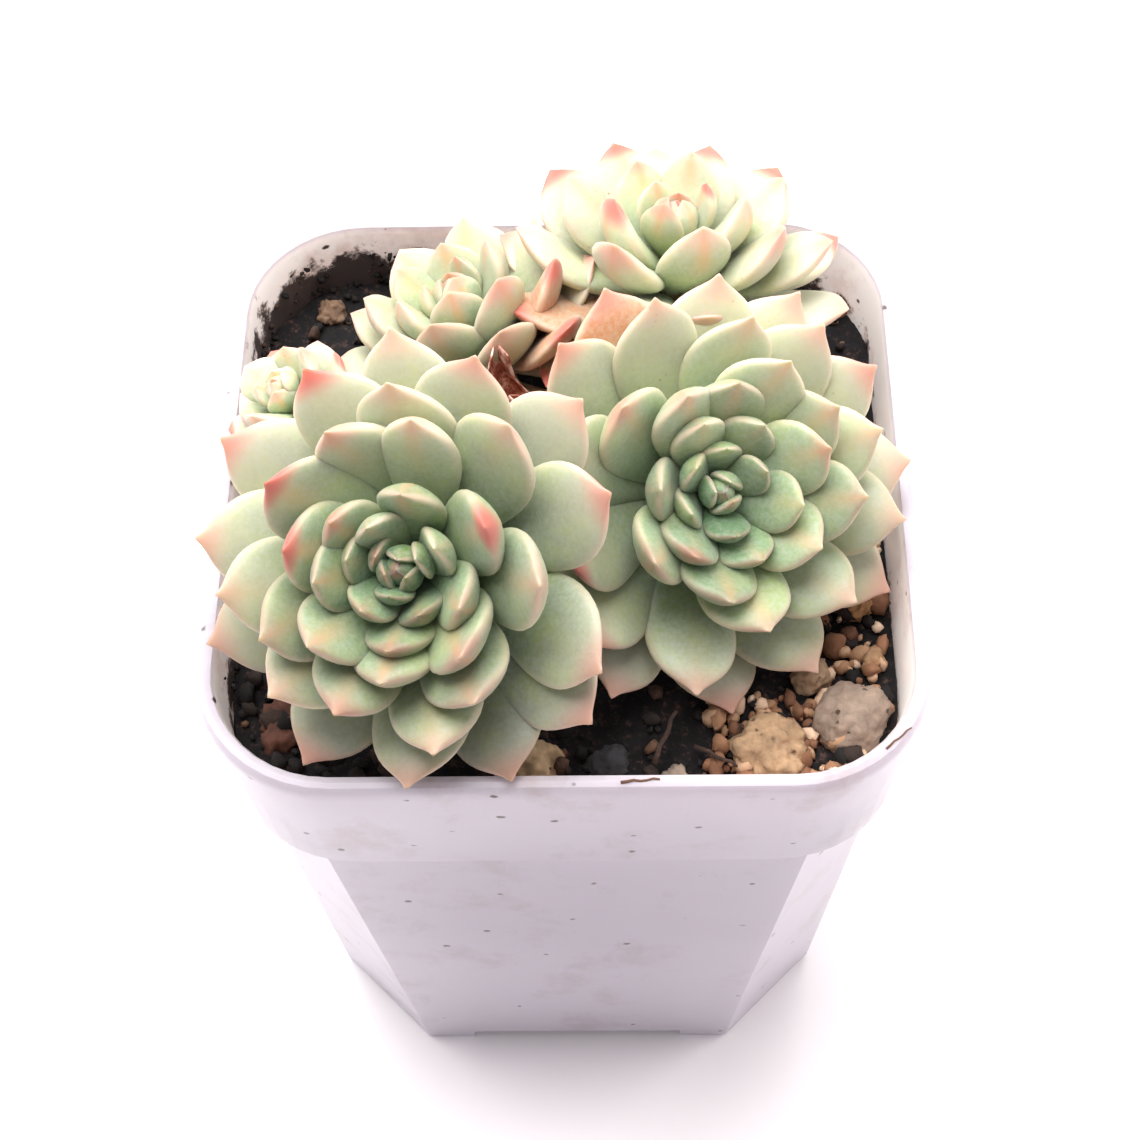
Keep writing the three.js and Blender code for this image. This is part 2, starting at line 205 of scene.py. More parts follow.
studio = {
    "skyStrength": 0.5,
    "sky": "#fff9fd",
    # name: (place, size, power in watts, colour), each aimed at the plant
    "lights": {
        "topSoftbox": ((-80, 170, 600), 600, 7.9, "#fffdfb"),
        "leftSoftbox": ((-560, 160, 300), 420, 0.7, "#ffffff"),
        "rightSoftbox": ((560, 160, 300), 420, 2.1, "#fff9f4"),
    },
    "floorColour": "#fdfafc",
}


def makeCamera():
    azimuth = math.radians(view["azimuth"])
    elevation = math.radians(view["elevation"])
    roll = math.radians(view["roll"])
    level = math.cos(elevation)
    back = Vector((math.sin(azimuth) * level, -math.cos(azimuth) * level, math.sin(elevation)))
    right = (-back).cross(Vector((0, 0, 1))).normalized()
    up = right.cross(-back)
    across = right * math.cos(roll) + up * math.sin(roll)
    upward = up * math.cos(roll) - right * math.sin(roll)
    place = Vector(view["target"]) * mm + back * view["distance"] * mm
    data = bpy.data.cameras.new("camera")
    data.sensor_fit = "HORIZONTAL"
    data.angle = math.radians(view["fieldOfView"])
    data.clip_start = 0.01
    camera = bpy.data.objects.new("camera", data)
    bpy.context.collection.objects.link(camera)
    turned = Matrix((across, upward, back)).transposed().to_4x4()
    camera.matrix_world = Matrix.Translation(place) @ turned
    bpy.context.scene.camera = camera


def makeStudio():
    world = bpy.data.worlds.new("studio")
    world.use_nodes = True
    background = world.node_tree.nodes["Background"]
    background.inputs["Color"].default_value = linear(studio["sky"])
    background.inputs["Strength"].default_value = studio["skyStrength"]
    bpy.context.scene.world = world
    for name, (place, size, power, colour) in studio["lights"].items():
        data = bpy.data.lights.new(name, "AREA")
        data.shape = "DISK"
        data.size = size * mm
        data.energy = power
        data.color = linear(colour)[:3]
        light = bpy.data.objects.new(name, data)
        bpy.context.collection.objects.link(light)
        light.location = Vector(place) * mm
        aim = Vector((0, 0, 70)) * mm - light.location
        light.rotation_euler = aim.to_track_quat("-Z", "Y").to_euler()
    deselectAll()
    bpy.ops.mesh.primitive_plane_add(size=4)
    floor = started("floor")
    material, tree, shader = startMaterial(
        "matt white paper", {"Base Color": linear(studio["floorColour"]), "Roughness": 0.9}
    )
    floor.data.materials.append(material)
    bpy.context.scene.view_settings.view_transform = "Standard"


makeCamera()
makeStudio()
print("camera, lights and floor made")

pot = {
    "height": 78,
    "rimHalf": 35,
    "rimCorner": 13.5,
    "lip": 1.8,
    "bandFoot": 59.5,
    "bandHalf": 33.5,
    "bandCorner": 12.5,
    "bodyHalf": 31.75,
    "bodyChamfer": 7.5,
    "baseHalf": 28.5,
    "baseChamfer": 10.5,
    "wall": 1.4,
    "floorTop": 3.6,
    "footHeight": 2,
    "footWidth": 2.6,
    "notchWidth": 25,
    "drainRadius": 4.5,
    "drainSide": 2.5,
    "drainRing": 15,
    "cornerSegments": 10,
}


def bodyAt(z):
    share = z / pot["bandFoot"]
    half = pot["baseHalf"] + (pot["bodyHalf"] - pot["baseHalf"]) * share
    corner = pot["baseChamfer"] + (pot["bodyChamfer"] - pot["baseChamfer"]) * share
    return half, corner


def insideAt(z):
    share = (z - pot["bandFoot"]) / (pot["height"] - pot["bandFoot"])
    low = pot["bandHalf"] - pot["wall"]
    return low + (pot["rimHalf"] - pot["lip"] - low) * share


def inCavity(x, y, half, corner):
    dx = max(0, abs(x) - (half - corner))
    dy = max(0, abs(y) - (half - corner))
    return math.hypot(dx, dy) <= corner


def cornersRounded(segments, corner, profile):
    # A square's four corners become arcs (profile 0.5) or flat chamfers (profile 0.25).
    bpy.ops.mesh.bevel(
        offset=corner * mm, segments=segments, affect="VERTICES", profile=profile, offset_type="OFFSET"
    )


def squareLoft(name, rings):
    # Rings of (half, corner, profile, z), each at its own height, bridged one to the next.
    made = []
    for half, corner, profile, z in rings:
        deselectAll()
        bpy.ops.mesh.primitive_plane_add(size=2 * half * mm, location=(0, 0, z * mm))
        bpy.ops.object.transform_apply(location=True)
        bpy.ops.object.mode_set(mode="EDIT")
        bpy.ops.mesh.select_all(action="SELECT")
        cornersRounded(pot["cornerSegments"], corner, profile)
        bpy.ops.mesh.select_all(action="SELECT")
        bpy.ops.mesh.delete(type="ONLY_FACE")
        bpy.ops.object.mode_set(mode="OBJECT")
        made.append(bpy.context.object)
    whole = joinAll(made, name)
    for lower, upper in zip(rings, rings[1:]):
        heights = (lower[3] * mm, upper[3] * mm)
        selectWhere(whole, lambda co: min(abs(co.z - heights[0]), abs(co.z - heights[1])) < 1e-6)
        bpy.ops.mesh.bridge_edge_loops()
    for end in (rings[0], rings[-1]):
        selectWhere(whole, lambda co: abs(co.z - end[3] * mm) < 1e-6)
        bpy.ops.mesh.edge_face_add()
    bpy.ops.mesh.select_all(action="SELECT")
    bpy.ops.mesh.normals_make_consistent(inside=False)
    bpy.ops.object.mode_set(mode="OBJECT")
    return whole


def cutAway(piece, cutter):
    applyModifier(piece, "BOOLEAN", object=cutter, operation="DIFFERENCE", solver="EXACT")
    bpy.data.objects.remove(cutter)


def makePot():
    flat = 0.25
    arc = 0.5
    baseHalf, baseCorner = bodyAt(0)
    insideLow, insideLowCorner = bodyAt(pot["floorTop"])
    insideTop, insideTopCorner = bodyAt(pot["bandFoot"] - pot["wall"])
    foot = pot["bandFoot"]
    rim = pot["rimHalf"]
    corner = pot["rimCorner"]
    wall = pot["wall"]
    top = pot["height"]
    hollow = baseHalf - pot["footWidth"]
    rings = [
        (hollow, baseCorner - 1, flat, pot["footHeight"]),
        (hollow, baseCorner - 1, flat, 0.02),
        (baseHalf - 0.35, baseCorner, flat, 0.0),
        (baseHalf, baseCorner, flat, 0.35),
        (pot["bodyHalf"] - 0.02, pot["bodyChamfer"], flat, foot - 0.6),
        (pot["bodyHalf"] + 0.25, pot["bodyChamfer"], flat, foot - 0.15),
        (pot["bandHalf"] - 0.7, pot["bandCorner"], arc, foot - 0.05),
        (pot["bandHalf"] - 0.2, pot["bandCorner"], arc, foot + 0.12),
        (pot["bandHalf"], pot["bandCorner"], arc, foot + 0.6),
        (rim - 0.12, corner, arc, top - 2.4),
        (rim, corner, arc, top - 1.2),
        (rim - 0.1, corner, arc, top - 0.6),
        (rim - 0.35, corner - 0.2, arc, top - 0.18),
        (rim - 0.85, corner - 0.6, arc, top),
        (rim - pot["lip"] + 0.25, corner - pot["lip"] + 0.2, arc, top - 0.22),
        (rim - pot["lip"], corner - pot["lip"], arc, top - 0.8),
        (insideAt(foot + 0.9), corner - pot["lip"], arc, foot + 0.9),
        (insideTop - wall, insideTopCorner, flat, foot - wall),
        (insideLow - wall, insideLowCorner, flat, pot["floorTop"] + 0.5),
        (insideLow - wall - 0.5, insideLowCorner, flat, pot["floorTop"]),
    ]
    whole = squareLoft("nurseryPot", rings)
    for turn in (0, 90):
        deselectAll()
        bpy.ops.mesh.primitive_cube_add(size=1)
        notch = started("notch")
        notch.scale = (pot["notchWidth"] * mm, 4 * pot["baseHalf"] * mm, 2 * pot["footHeight"] * mm)
        notch.rotation_euler.z = math.radians(turn)
        bpy.ops.object.transform_apply(location=True, rotation=True, scale=True)
        bpy.ops.object.mode_set(mode="EDIT")
        bpy.ops.mesh.bevel(offset=0.5 * mm, segments=3, affect="EDGES")
        cutAway(whole, notch)
    places = [(0, 0, pot["drainRadius"])]
    for quarter in range(4):
        angle = math.radians(45 + 90 * quarter)
        ring = pot["drainRing"]
        places.append((ring * math.cos(angle), ring * math.sin(angle), pot["drainSide"]))
    for x, y, radius in places:
        deselectAll()
        bpy.ops.mesh.primitive_cylinder_add(
            vertices=32, radius=radius * mm, depth=12 * mm, location=(x * mm, y * mm, 0)
        )
        cutAway(whole, started("drain"))
    layer = whole.data.attributes.new("inside", "FLOAT", "POINT")
    for vertex, entry in zip(whole.data.vertices, layer.data):
        x, y, z = vertex.co / mm
        half = insideAt(z) + 0.2
        bare = z > foot + 0.5 and inCavity(x, y, half, corner - pot["lip"] + 0.2)
        entry.value = 1.0 if bare else 0.0
    return whole


pottingPlastic = {
    "colour": "#bcb6c0",
    # The bare inside's colour is painted light: lighter, standing in for light coming through the thin
    # wall.
    "paintedThroughLight": "#fdf3f0",  # the bare inside, where light comes through the wall
    "dust": "#8f796e",
    "speck": "#4a3b36",
    "smudgeSize": 9,  # mm across a rubbed-on smudge
    "speckSpacing": 3.3,  # mm between specks of dry soil
    "smear": "#2b1f1e",
    "smearSize": 3.2,
    "smearTop": 76.5,
}


def pottingPlasticMaterial():
    # Injection-moulded polypropylene: smooth and glossy, a little translucent, with dry soil on it.
    material, tree, shader = startMaterial(
        "moulded polypropylene",
        {
            "Roughness": 0.3,
            "IOR": 1.49,
            "Subsurface Weight": 0.5,
            "Subsurface Radius": (1.0, 0.86, 0.82),
            "Subsurface Scale": 4.0 * mm,
        },
    )
    place = addNode(tree, "ShaderNodeTexCoord").outputs["Object"]
    cloud = addNode(
        tree, "ShaderNodeTexNoise",
        {"Scale": 1 / (pottingPlastic["smudgeSize"] * mm), "Detail": 5.0, "Roughness": 0.68},
        {"Vector": place},
    )
    smudge = addNode(
        tree, "ShaderNodeMapRange", {"From Min": 0.54, "From Max": 0.78, "To Max": 0.5},
        {"Value": cloud.outputs[0]},
    )
    # Specks: one in some of the cells, each a fraction of a millimetre.
    stretched = addNode(
        tree, "ShaderNodeMapping", {"Scale": (1.0, 1.0, 1.35), "Rotation": (0.3, 0.5, 0.4)},
        {"Vector": place},
    )
    wobble = addNode(
        tree, "ShaderNodeTexNoise", {"Scale": 1 / (1.2 * mm), "Detail": 2.0}, {"Vector": place}
    )
    cells = addNode(
        tree, "ShaderNodeTexVoronoi",
        {"Scale": 1 / (pottingPlastic["speckSpacing"] * mm), "Randomness": 1.0},
        {"Vector": stretched.outputs[0]},
    )
    ragged = addNode(
        tree, "ShaderNodeMath", {"operation": "MULTIPLY_ADD", 1: 0.34},
        {0: wobble.outputs[0], 2: cells.outputs[0]},
    )
    spot = addNode(
        tree, "ShaderNodeMapRange", {"From Min": 0.3, "From Max": 0.24}, {"Value": ragged.outputs[0]}
    )
    chosen = addNode(tree, "ShaderNodeSeparateColor", None, {0: cells.outputs["Color"]})
    some = addNode(tree, "ShaderNodeMath", {"operation": "GREATER_THAN", 1: 0.72}, {0: chosen.outputs[0]})
    speck = addNode(
        tree, "ShaderNodeMath", {"operation": "MULTIPLY"}, {0: spot.outputs[0], 1: some.outputs[0]}
    )
    bare = addNode(tree, "ShaderNodeAttribute", {"attribute_name": "inside"})
    # The bare inside gets the lighter colour: painted light for light coming through the thin wall.
    base = addNode(
        tree, "ShaderNodeMix",
        {"data_type": "RGBA", 6: linear(pottingPlastic["colour"]), 7: linear(pottingPlastic["paintedThroughLight"])},
        {0: bare.outputs["Fac"]},
    )
    # Soil smeared up the bare inside, most of it at the back left.
    axes = addNode(tree, "ShaderNodeSeparateXYZ", None, {0: place})
    corner = addNode(
        tree, "ShaderNodeMath", {"operation": "SUBTRACT"}, {0: axes.outputs[1], 1: axes.outputs[0]}
    )
    side = addNode(
        tree, "ShaderNodeMapRange",
        {"From Min": -20 * mm, "From Max": 48 * mm, "To Min": 0.05, "To Max": 0.36},
        {"Value": corner.outputs[0]},
    )
    low = addNode(
        tree, "ShaderNodeMapRange",
        {"From Min": pottingPlastic["smearTop"] * mm, "From Max": 70 * mm, "To Min": -0.22, "To Max": 0.16},
        {"Value": axes.outputs[2]},
    )
    torn = addNode(
        tree, "ShaderNodeTexNoise",
        {"Scale": 1 / (pottingPlastic["smearSize"] * mm), "Detail": 6.0, "Roughness": 0.72},
        {"Vector": place},
    )
    reach = addNode(tree, "ShaderNodeMath", {"operation": "ADD"}, {0: side.outputs[0], 1: low.outputs[0]})
    depth = addNode(tree, "ShaderNodeMath", {"operation": "ADD"}, {0: reach.outputs[0], 1: torn.outputs[0]})
    smear = addNode(
        tree, "ShaderNodeMapRange", {"From Min": 0.76, "From Max": 0.86, "To Max": 0.95},
        {"Value": depth.outputs[0]},
    )
    inner = addNode(
        tree, "ShaderNodeMath", {"operation": "MULTIPLY"}, {0: smear.outputs[0], 1: bare.outputs["Fac"]}
    )
    colour = base.outputs[2]
    for name, share in (("dust", smudge), ("speck", speck), ("smear", inner)):
        over = linear(pottingPlastic[name])
        mixed = addNode(
            tree, "ShaderNodeMix", {"data_type": "RGBA", 7: over}, {0: share.outputs[0], 6: colour}
        )
        colour = mixed.outputs[2]
    tree.links.new(colour, shader.inputs["Base Color"])
    # Moulding ripple, a few hundredths of a millimetre deep.
    ripple = addNode(tree, "ShaderNodeTexNoise", {"Scale": 1 / (14 * mm), "Detail": 1.0}, {"Vector": place})
    bump = addNode(
        tree, "ShaderNodeBump", {"Strength": 0.25, "Distance": 0.15 * mm}, {"Height": ripple.outputs[0]}
    )
    tree.links.new(bump.outputs[0], shader.inputs["Normal"])
    return material


potPiece = finishPiece(makePot(), pottingPlasticMaterial(), ["pot"], smoothAngle=32)
print("pot made:", len(potPiece.data.polygons), "faces")

leaf = {
    "length": 21,
    "width": 10.4,
    "thickness": 3.3,
    "widthPower": 0.55,
    "aroundSides": 12,
    # share of the length, width, thickness
    "stations": [
        (0.0, 0.28, 0.36),
        (0.12, 0.38, 0.62),
        (0.3, 0.62, 0.9),
        (0.47, 0.88, 1.0),
        (0.61, 1.0, 1.0),
        (0.73, 0.97, 0.95),
        (0.83, 0.82, 0.84),
        (0.9, 0.58, 0.66),
        (0.95, 0.29, 0.4),
        (0.984, 0.1, 0.16),
    ],
    "roundAt": (0.0, 0.6, 0.73, 0.83, 0.9, 0.95, 0.984, 1.0),
    "roundShare": (1.0, 1.0, 1.02, 1.08, 1.25, 1.75, 2.6, 2.0),
    "flatness": 0.72,  # how far the upper face stands, as a share of the back
    "outerBow": 0.05,
    "innerBow": 0.09,
    "outerCup": -0.05,
    "innerCup": 0.05,
    "innerThickness": 1.5,  # how much thicker the upright inner leaves are
    "heartWidth": 0.72,  # width of the very middle leaves
    "heartThickness": 0.75,
    "hollow": 0.33,  # how far the middle sinks below the dome
    "stagger": 0.8,  # mm that every other leaf of a whorl sits lower
    "uprightRises": (20, 70),  # degrees over which leaves turn from spreading to upright
    "middleRises": (64, 84),
    "hollowRises": (58, 83),
    "inset": 0.72,  # how much nearer to the stem the upright leaves start
    "spiral": 28,  # degrees that a leaf's root lags behind its tip
}


def makeLeaf():
    # Stands along +Z: X is its width from -0.5 to 0.5, +Y its upper face.
    deselectAll()
    first = leaf["stations"][0]
    bpy.ops.mesh.primitive_circle_add(vertices=leaf["aroundSides"], radius=0.5, fill_type="NGON")
    piece = started("leafPattern")
    bpy.ops.object.mode_set(mode="EDIT")
    bpy.ops.mesh.select_all(action="SELECT")
    bpy.ops.transform.resize(value=(first[1], first[2], 1), center_override=(0, 0, 0))
    before = first
    for station in leaf["stations"][1:] + [(1.03, 0.03, 0.04)]:
        rise = station[0] - before[0]
        bpy.ops.mesh.extrude_region_move(TRANSFORM_OT_translate={"value": (0, 0, rise)})
        shrink = (station[1] / before[1], station[2] / before[2], 1)
        bpy.ops.transform.resize(value=shrink, center_override=(0, 0, station[0]))
        before = station
    bpy.ops.mesh.merge(type="CENTER")
    bpy.ops.mesh.select_all(action="SELECT")
    bpy.ops.mesh.normals_make_consistent(inside=False)
    bpy.ops.object.mode_set(mode="OBJECT")
    # Upper face flattened, back drawn down to a keel towards the tip.
    for vertex in piece.data.vertices:
        co = vertex.co
        if co.y > 0:
            co.y *= leaf["flatness"]
        else:
            keel = 1 - min(1, abs(co.x) / 0.5)
            co.y *= 0.86 + 0.4 * keel * co.z
    applyModifier(piece, "SUBSURF", levels=1, render_levels=1)
    mesh = piece.data
    count = len(mesh.vertices)
    places = np.empty(count * 3)
    mesh.vertices.foreach_get("co", places)
    places = places.reshape(-1, 3)
    heights = [station[0] for station in leaf["stations"]] + [1.0]
    widths = [station[1] for station in leaf["stations"]] + [0.03]
    widest = np.interp(places[:, 2], heights, widths)
    across = np.clip(np.abs(places[:, 0]) / (0.5 * widest), 0, 1)
    for name, values in (("along", places[:, 2]), ("across", across)):
        layer = mesh.attributes.new(name, "FLOAT", "POINT")
        layer.data.foreach_set("value", values.astype(np.float32))
    return piece, places


# Middle, x and y from the pot's middle and z over the rim; lean per unit of height; radius and height
# of the dome that the tips lie on; whorls from the outside in, as rise on the dome and leaf turns.
# Colour: warm is cream rather than green; the next key sets how light, part tone and part painted light
# (the back rosettes painted paler), and sun is how much paler the window side is painted. deepTips are
# turns with a dark pink tip.
rosettes = {
    "front_left": {
        "middle": (-12.81, -17.5, 11.3), "lean": (-0.22, -0.78), "spread": 21.5, "dome": 13.5,
        "foot": (-0.26, -0.22), "stem": 1.5, "warm": 0.2, "pale": -0.52,
        "deepTips": (137, 161, 17, 109), "special": {(3, 73): (0.84, 0.0), (3, 107): (0.84, 2.2)},
        "whorls": [
            (8, (36, 88, 140, 193, 232, 286, 311)),
            (24, (12, 63, 109, 165, 262, 325)),
            (40, (43, 84, 180, 216, 274)),
            (51, (73, 107, 137, 199, 240, 295, 348)),
            (63, (17, 161, 214, 257, 304)),
            (71, (73, 134, 180, 259, 326)),
            (78, (112, 160, 224, 292, 20)),
            (84, (20, 140, 250)),
        ],
    },
    "front_right": {
        "middle": (13.2, -6.51, 6.5), "lean": (0.4, -0.72), "spread": 21.5, "dome": 12,
        "foot": (0.26, -0.03), "stem": 1.5, "warm": 0.42, "pale": -0.28, "deepTips": (180, 215),
        "rusty": ((0, 130),),
        "whorls": [
            (9, (20, 75, 130, 205, 256, 290, 345)),
            (20, (48, 100, 150, 176, 228, 314)),
            (29, (4, 68, 122, 240, 275)),
            (40, (33, 93, 180, 215, 333)),
            (52, (10, 49, 78, 156, 297)),
            (62, (36, 100, 131, 232, 279, 341)),
            (71, (2, 75, 128, 190, 250, 308)),
            (79, (40, 105, 160, 222, 290)),
        ],
    },
    "back_right": {
        "middle": (10.99, 18.52, 8), "lean": (0.05, 0.3), "spread": 18.5, "dome": 12.5,
        "foot": (0.26, 0.36), "stem": 1.5, "warm": 0.7, "pale": 0.05, "sun": 0.3,
        "deepTips": (256, 65, 110, 45, 142, 70, 122, 20, 190, 205, 226),
        "rusty": ((0, 190), (0, 226), (1, 205)), "heartShare": 0.35, "round": 0.45, "hollow": 0.16,
        "special": {(4, 289): (1.12, 1.6), (2, 142): (1.2, 0.0), (4, 205): (1.2, 1.0)},
        "whorls": [
            (-16, (40, 128, 190, 226, 256, 300)),
            (8, (20, 65, 110, 160, 205, 275, 338)),
            (33, (45, 95, 142, 182, 250, 280, 350)),
            (52, (18, 70, 122, 160, 236, 334)),
            (68, (75, 124, 205, 289, 342)),
            (80, (20, 130, 245)),
        ],
    },
    "back_left": {
        "middle": (-8.5, 14, 4), "lean": (-0.4, 0.28), "spread": 15, "dome": 11.5,
        "foot": (-0.2, 0.34), "stem": 1.5, "warm": 0.6, "pale": 0.14, "sun": 0.45,
        "deepTips": (300, 345, 330, 356),
        "rusty": ((0, 300), (0, 345), (1, 330), (2, 356)), "heartShare": 0.45, "round": 0.4, "hollow": 0.2,
        "whorls": [
            (-6, (80, 170, 215, 300, 345)),
            (20, (15, 62, 105, 148, 190, 228, 330)),
            (40, (42, 85, 128, 176, 243, 305, 356)),
            (56, (81, 135, 191, 270, 325)),
            (69, (27, 100, 162, 215, 290)),
            (81, (60, 200, 310)),
        ],
    },
    "small_left": {
        "middle": (-26.5, 6.51, 3), "lean": (-0.55, 0.05), "spread": 7.5, "dome": 6.5,
        "foot": (-0.55, 0.16), "stem": 1.0, "warm": 0.45, "pale": 0.42, "sun": 0.4,
        "deepTips": (20, 110, 198, 245, 335), "heartShare": 0.3, "round": 0.4, "hollow": 0.2,
        "whorls": [
            (25, (20, 64, 110, 155, 198, 245, 290, 335)),
            (54, (30, 78, 138, 217, 252, 330)),
            (78, (11, 96, 200, 290)),
        ],
    },
}

crown = {
    "top": 0.2,
    "pitch": 1.15,
    "radius": 2.9,
    # the folded middle: rise, share of the length, turns
    "bud": [(87, 0.9, (75, 195, 315)), (90, 0.84, (20, 140, 260))],
}


def rosetteFrame(rosette):
    axis = Vector((*rosette["lean"], 1)).normalized()
    right = Vector((0, 1, 0)).cross(axis).normalized()
    back = axis.cross(right)
    x, y, z = rosette["middle"]
    return axis, right, back, Vector((x, y, pot["height"] + z))


def shareOf(value, low, high):
    return min(1, max(0, (value - low) / (high - low)))


def collarHeight(rosette, index):
    last = len(rosette["whorls"]) - 1
    return crown["top"] * rosette["dome"] - crown["pitch"] * (last - index)


def placeLeaf(rosette, index, rise, turn, chance, lengthShare=1.0, inward=1.0, order=0):
    broad, lower = rosette.get("special", {}).get((index, turn), (1.0, 0.0))
    sink = leaf["stagger"] * (order % 2)  # neighbours in a whorl overlap instead of meeting
    axis, right, back, middle = rosetteFrame(rosette)
    last = len(rosette["whorls"]) - 1
    age = index / last
    out = right * math.cos(math.radians(turn)) + back * math.sin(math.radians(turn))
    height = collarHeight(rosette, index) - lower - sink
    upright = shareOf(rise, *leaf["uprightRises"])
    middling = shareOf(rise, *leaf["middleRises"])
    root = math.radians(turn - leaf["spiral"] * upright)
    rootOut = right * math.cos(root) + back * math.sin(root)
    inward *= 1 - leaf["inset"] * upright
    start = middle + axis * height + rootOut * inward * (crown["radius"] + rosette["stem"]) / 2
    sunken = 1 - rosette.get("hollow", leaf["hollow"]) * shareOf(rise, *leaf["hollowRises"])
    end = middle + axis * rosette["dome"] * math.sin(math.radians(rise)) * sunken
    end += out * rosette["spread"] * math.cos(math.radians(rise)) - axis * sink * 0.8
    reach = end - start
    length = reach.length * lengthShare
    along = reach.normalized()
    side = axis.cross(out)
    face = along.cross(side)
    slim = (length / leaf["length"]) ** leaf["widthPower"]
    width = leaf["width"] * slim * broad * chance.uniform(0.96, 1.06)
    width *= 1 - (1 - leaf["heartWidth"]) * middling
    thickness = leaf["thickness"] * slim * (1 + (leaf["innerThickness"] - 1) * upright)
    thickness *= 1 - (1 - leaf["heartThickness"]) * middling
    bow = leaf["outerBow"] + (leaf["innerBow"] - leaf["outerBow"]) * upright
    cup = leaf["outerCup"] + (leaf["innerCup"] - leaf["outerCup"]) * upright
    twist = chance.uniform(-0.12, 0.12)
    skew = chance.uniform(-0.03, 0.03)

    piece = copyOf(leafPattern, "leaf")
    x, y, z = leafPlaces[:, 0].copy(), leafPlaces[:, 1], leafPlaces[:, 2]
    turned = twist * z
    rounder = np.interp(z, leaf["roundAt"], leaf["roundShare"])
    x *= 1 + (rounder - 1) * rosette.get("round", 0.0)
    sideways = x * np.cos(turned) * width + skew * length * np.sin(math.pi * z)
    tipLift = 0.035 * length * np.clip((z - 0.85) / 0.15, 0, 1) ** 2
    upwards = y * thickness + cup * width * (4 * x * x) * np.clip((z - 0.25) / 0.5, 0, 1) * 0.5
    upwards += x * np.sin(turned) * width
    upwards -= bow * length * np.sin(math.pi * z ** (1.1 + 0.5 * upright))
    upwards += tipLift * (0.2 if upright > 0.3 else -0.3)
    lengthways = z * length
    points = np.array(start)[None, :] + np.outer(lengthways, np.array(along))
    points += np.outer(sideways, np.array(side)) + np.outer(upwards, np.array(face))
    piece.data.vertices.foreach_set("co", (points * mm).ravel())
    piece.data.update()
    heartShare = rosette.get("heartShare", 1.0)
    paintValue(piece, "age", age * heartShare)
    paintValue(piece, "upright", upright)
    paintValue(piece, "tint", chance.random())
    # The window side of each rosette, away from the front, is warmer and is painted paler, as painted light
    # falling from that side; the heart is painted darker, as painted shade in the middle of the rosette.
    sunny = math.sin(math.radians(turn)) * (1 - 0.6 * age)
    warm = rosette["warm"] + 0.3 * sunny + chance.uniform(-0.2, 0.2) - 0.25 * age
    paintValue(piece, "warm", min(1, max(0, warm)))
    paintValue(piece, "pale", rosette["pale"] + rosette.get("sun", 0.75) * sunny - 0.75 * age * heartShare)
    paintValue(piece, "rust", 1.0 if (index, turn) in rosette.get("rusty", ()) else 0.0)
    paintValue(piece, "blush", 1.0 if turn in rosette["deepTips"] else chance.random() ** 2 * 0.5)
    return piece


freshLeaf = {
    # green by age, from the outermost whorl to the heart
    "greens": [(0.0, "#778a6e"), (0.3, "#7c9766"), (0.65, "#719c5c"), (1.0, "#47803a")],
    "rust": "#c27843",
    "cream": "#efe5c9",
    "lime": "#a5bb55",
    "margin": "#e6cdb8",
    "keel": "#d6b182",
    "pink": "#d99f90",
    "deepPink": "#cc6a60",
    "bloom": "#d3d8d2",
    "speck": "#9b6a48",
    "bloomGrain": 0.5,  # mm, drawn coarser than the wax's own grain
    "speckSpacing": 0.9,  # mm between red-brown dots on the back rosettes
}


